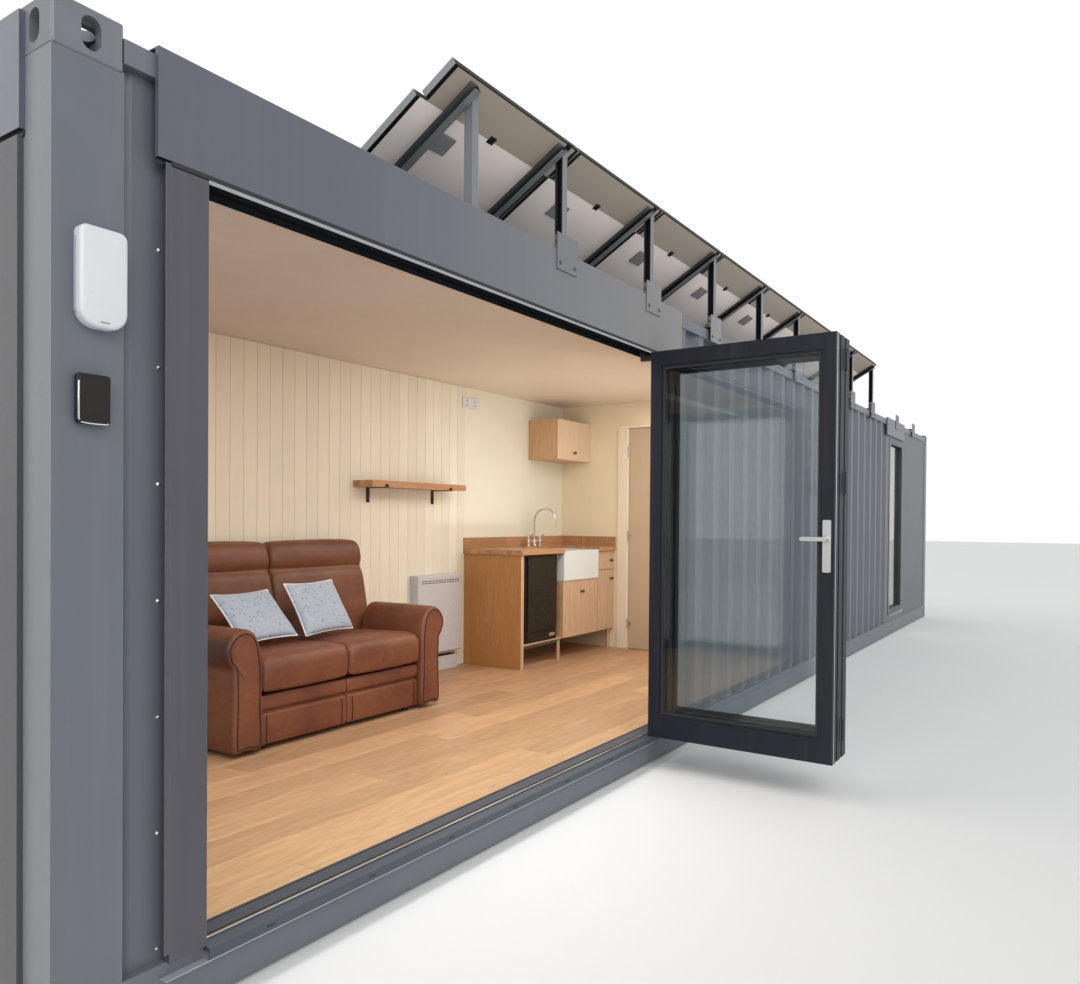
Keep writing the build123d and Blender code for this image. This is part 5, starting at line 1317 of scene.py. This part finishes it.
def addSofa():
    k = sofa
    left, right = k["left"] + k["armWidth"], k["left"] + k["width"] - k["armWidth"]
    backLeft, backRight = k["left"] + k["backInset"], k["left"] + k["width"] - k["backInset"]
    middle = (left + right) / 2
    gap = k["gap"]
    seat, back, base = (smoothLoop(k[part]) for part in ("seat", "back", "base"))
    for i, (x0, x1) in enumerate(((left + gap, middle - gap), (middle + gap, right - gap))):
        cushion = softLoft("sofaSeat" + "AB"[i], seat, alongBody, x0, x1, k["seatSoft"], 3.0 * i)
        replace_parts(cushion, "sofa_cushions")
        plinth = softLoft("sofaPlinth" + "AB"[i], base, alongBody, x0, x1, k["baseSoft"], 5.0 + i)
        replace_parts(plinth, "sofa_plinth")
    for i, (x0, x1) in enumerate(((backLeft + gap, middle - gap), (middle + gap, backRight - gap))):
        cushion = softLoft("sofaBack" + "AB"[i], back, alongBody, x0, x1, k["backSoft"], 9.0 + 2 * i)
        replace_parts(cushion, "sofa_cushions")
    # the piping and the plinth's channels: real welts in a near-black leather, painted shade in the seams
    piping = Form()
    start, end = k["front"] + 0.0035, k["front"] + k["depth"] - 0.003
    for i, (x, side) in enumerate(((left, -1), (right, 1))):
        loop = smoothLoop([(x + side * a, z) for a, z in k["arm"][::-side]], 5)
        arm = softLoft("sofaArm" + "AB"[i], loop, intoBody, start, end, k["armSoft"], 13.0 + i)
        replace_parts(arm, "sofa_arms")
        seam = insetLoop(loop, 0.024, sum(loop, Vector((0, 0))) / len(loop))
        piping.tube([(p.x, k["front"] + 0.0050, p.y) for p in seam], k["piping"], 8, closed=True)
    inset = k["channelInset"]
    for x in (left + inset, middle - inset, middle + inset, right - inset):
        piping.tube([(x, y, z) for y, z in k["channelPath"]], k["channel"], 6)
    welts = piping.piece("sofaPiping", "pipingShadeLeather", True, "tan_leather", 180)
    feet = Form()
    side, fromFront, fromRear = k["glideInsets"]
    for x in (left + side, right - side):
        for y in (k["front"] + fromFront, k["front"] + k["depth"] - fromRear):
            feet.lathe(k["glide"], (x, y, k["floorTop"]), sides=16)
    feet.piece("sofaGlides", "blackShell", True, slot="black_plastic")


pillows = {"width": 0.430, "height": 0.345, "thickness": 0.090, "turn": 8, "seatTop": 0.6553,
           "places": ((1.976, 1.790, 42), (2.434, 1.790, 30)), "pull": 0.012, "cells": 44, "piping": 0.0035,
           "seam": 0.005, "fold": 0.006, "slump": 0.16}


def pillowSpot(a, b, side, i):
    # point of the pillow's skin: drawn in along its sides, fullest in the middle, slumped towards the foot
    k = pillows
    n = k["cells"]
    u, v = 2 * a / n - 1, 2 * b / n - 1
    px = u * (k["width"] / 2 - k["seam"] - k["pull"] * (1 - v * v) * abs(u) ** 3)
    py = v * (k["height"] / 2 - k["seam"] - k["pull"] * (1 - u * u) * abs(v) ** 3)
    full = ((1 - u ** 4) * (1 - v ** 4)) ** 0.42
    fold = noise.noise(Vector((px * 9 + 5 * i, py * 9, side * 3.0))) * k["fold"] * full
    swell = full * (k["thickness"] / 2 - k["seam"]) * (1.0 - k["slump"] * v)
    return Vector((px, py, side * (swell + fold) * 0.9))


def pillowMesh(i, matrix):
    k = pillows
    n = k["cells"]
    bm = bmesh.new()
    layer = bm.loops.layers.uv.new("cloth")
    skin = {}

    def key(a, b, side):
        return (a, b, 0 if a in (0, n) or b in (0, n) else side)

    for side in (-1, 1):
        for a in range(n + 1):
            for b in range(n + 1):
                if key(a, b, side) not in skin:
                    skin[key(a, b, side)] = bm.verts.new(pillowSpot(a, b, side, i))
    for side in (-1, 1):
        for a in range(n):
            for b in range(n):
                cells = [(a, b), (a + 1, b), (a + 1, b + 1), (a, b + 1)][::side]
                face = bm.faces.new([skin[key(p, q, side)] for p, q in cells])
                for loop, (p, q) in zip(face.loops, cells):
                    loop[layer].uv = ((p / n + 0.37 * i) * k["width"], (q / n + side * 1.3) * k["height"])
    bmesh.ops.recalc_face_normals(bm, faces=bm.faces)
    mesh = bpy.data.meshes.new("pillow")
    bm.transform(matrix)
    bm.to_mesh(mesh)
    bm.free()
    for face in mesh.polygons:
        face.use_smooth = True
    return mesh


def addPillows():
    k = pillows
    n = k["cells"]
    for i, (x, y, lean) in enumerate(k["places"]):
        slope = math.radians(lean)
        z = k["seatTop"] + k["height"] / 2 * math.cos(slope) + k["thickness"] / 2 * math.sin(slope)
        matrix = (Matrix.Translation(at(x, y, z)) @ Matrix.Rotation(math.radians(k["turn"]), 4, "Z")
                  @ Matrix.Rotation(math.radians(90 - lean), 4, "X"))
        pillow = settle("scatterPillow" + "AB"[i], pillowMesh(i, matrix), "pillowCloth")
        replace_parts(pillow, "scatter_pillows")
        rim = [(a, 0) for a in range(n)] + [(n, b) for b in range(n)]
        rim += [(n - a, n) for a in range(n)] + [(0, n - b) for b in range(n)]
        spots = [pillowSpot(a, b, 1, i) for a, b in rim]
        welt = Form()
        welt.tube([matrix @ Vector((p.x, p.y, 0)) - nearCorner for p in spots], k["piping"], 8, closed=True)
        trim = welt.piece("pillowPiping" + "AB"[i], "whiteCord", True, "pillow_cloth", 180)


addSofa()
addPillows()
print("sofa and pillows")


# studio

studio = {"floorColour": (0.80, 0.80, 0.79), "floorReach": 60, "floorLevel": -0.002,
          "skyColour": (0.93, 0.95, 0.98), "skyStrength": 0.66,
          "keyStrength": 1.35, "keySpread": 50, "keyColour": (1.0, 0.985, 0.96),
          "keyDirection": (0.42, 0.76, -0.62)}

# lamps: place and target on the body, size, power and colour
lamps = {"fillLamp": ((-7.5, -1.5, 5.0), (0.0, 1.2, 1.3), (6, 5), 175, (0.96, 0.98, 1.0)),
         "rearLamp": ((8.0, 9.5, 7.0), (6.0, 2.0, 1.0), (9, 6), 175, (0.97, 0.98, 1.0)),
         "roomLamp": ((4.5, 0.75, 2.30), (4.5, 1.25, 0.1), (3.0, 0.9), 21, (0.93, 0.96, 1.0)),
         "seatLamp": ((1.8, 0.7, 2.30), (1.8, 1.3, 0.1), (2.2, 0.8), 2.5, (0.93, 0.96, 1.0)),
         "rearRoomLamp": ((9.0, 1.2, 2.40), (9.0, 1.2, 0.2), (4.0, 1.4), 21, (0.93, 0.96, 1.0))}
unseenLamps = {"bounceLamp": ((6.5, -3.4, 0.12), (6.5, -3.3, 3.0), (12, 4.6), 105, (1, 1, 1)),
               "frontLamp": ((4.9, 0.30, 1.3), (4.9, 2.2, 1.0), (2.2, 1.4), 13, (0.98, 0.97, 0.95)),
               "doorLamp": ((1.95, 0.30, 2.38), (1.95, 0.42, 0.2), (2.9, 0.4), 33, (1, 1, 1)),
               "ceilingLamp": ((4.6, 1.2, 1.3), (4.6, 1.21, 2.4), (1.2, 2.0), 4.2, (1, 1, 1))}


def addLamp(name, kind, power, colour, direction):
    data = bpy.data.lights.new(name, kind)
    data.energy = power
    data.color = colour
    lamp = bpy.data.objects.new(name, data)
    lamp.rotation_euler = direction.to_track_quat("-Z", "Y").to_euler()
    scene.collection.objects.link(lamp)
    return lamp


def addArea(name, place, target, size, power, colour):
    place, target = at(*place), at(*target)
    lamp = addLamp(name, "AREA", power, colour, target - place)
    lamp.location = place
    lamp.data.shape = "RECTANGLE"
    lamp.data.size, lamp.data.size_y = size
    return lamp


def addSky():
    world = bpy.data.worlds.new("paleStudio")
    scene.world = world
    world.use_nodes = True
    t = Tree(world.node_tree)
    shade = t.find("BACKGROUND")
    shade.inputs["Color"].default_value = rgb(*studio["skyColour"])
    shade.inputs["Strength"].default_value = studio["skyStrength"]
    white = t.add("ShaderNodeBackground", {"Color": rgb(1, 1, 1), "Strength": 1.0})
    path = t.add("ShaderNodeLightPath").outputs
    seen = t.math("MAXIMUM", path["Is Glossy Ray"], path["Is Transmission Ray"])
    seen = t.math("MAXIMUM", path["Is Camera Ray"], seen)
    t.put(t.find("OUTPUT_WORLD").inputs["Surface"], t.mixShaders(seen, shade.outputs[0], white.outputs[0]))


def addGround():
    reach, level = studio["floorReach"], studio["floorLevel"]
    mesh = bpy.data.meshes.new("studioFloor")
    corners = [(-reach, -reach, level), (reach, -reach, level), (reach, reach, level), (-reach, reach, level)]
    mesh.from_pydata(corners, [], [(0, 1, 2, 3)])
    ground = bpy.data.objects.new("studioFloor", mesh)
    scene.collection.objects.link(ground)
    t, shader, spot = newMaterial("studioFloor")
    colour = studio["floorColour"]
    dress(t, shader, t.mix(t.noise(spot, 0.6, 3, 0.5), rgb(*colour), dim(colour, 0.97)), 0.9, None)
    mesh.materials.append(look["studioFloor"])


def addStudio():
    addSky()
    addGround()
    sun = addLamp("keyLamp", "SUN", studio["keyStrength"], studio["keyColour"], Vector(studio["keyDirection"]))
    sun.data.angle = math.radians(studio["keySpread"])
    for name, values in lamps.items():
        addArea(name, *values)
    for name, values in unseenLamps.items():
        lamp = addArea(name, *values)
        lamp.visible_camera = False
        lamp.visible_glossy = False
        lamp.visible_transmission = False


addStudio()
print("studio ready")
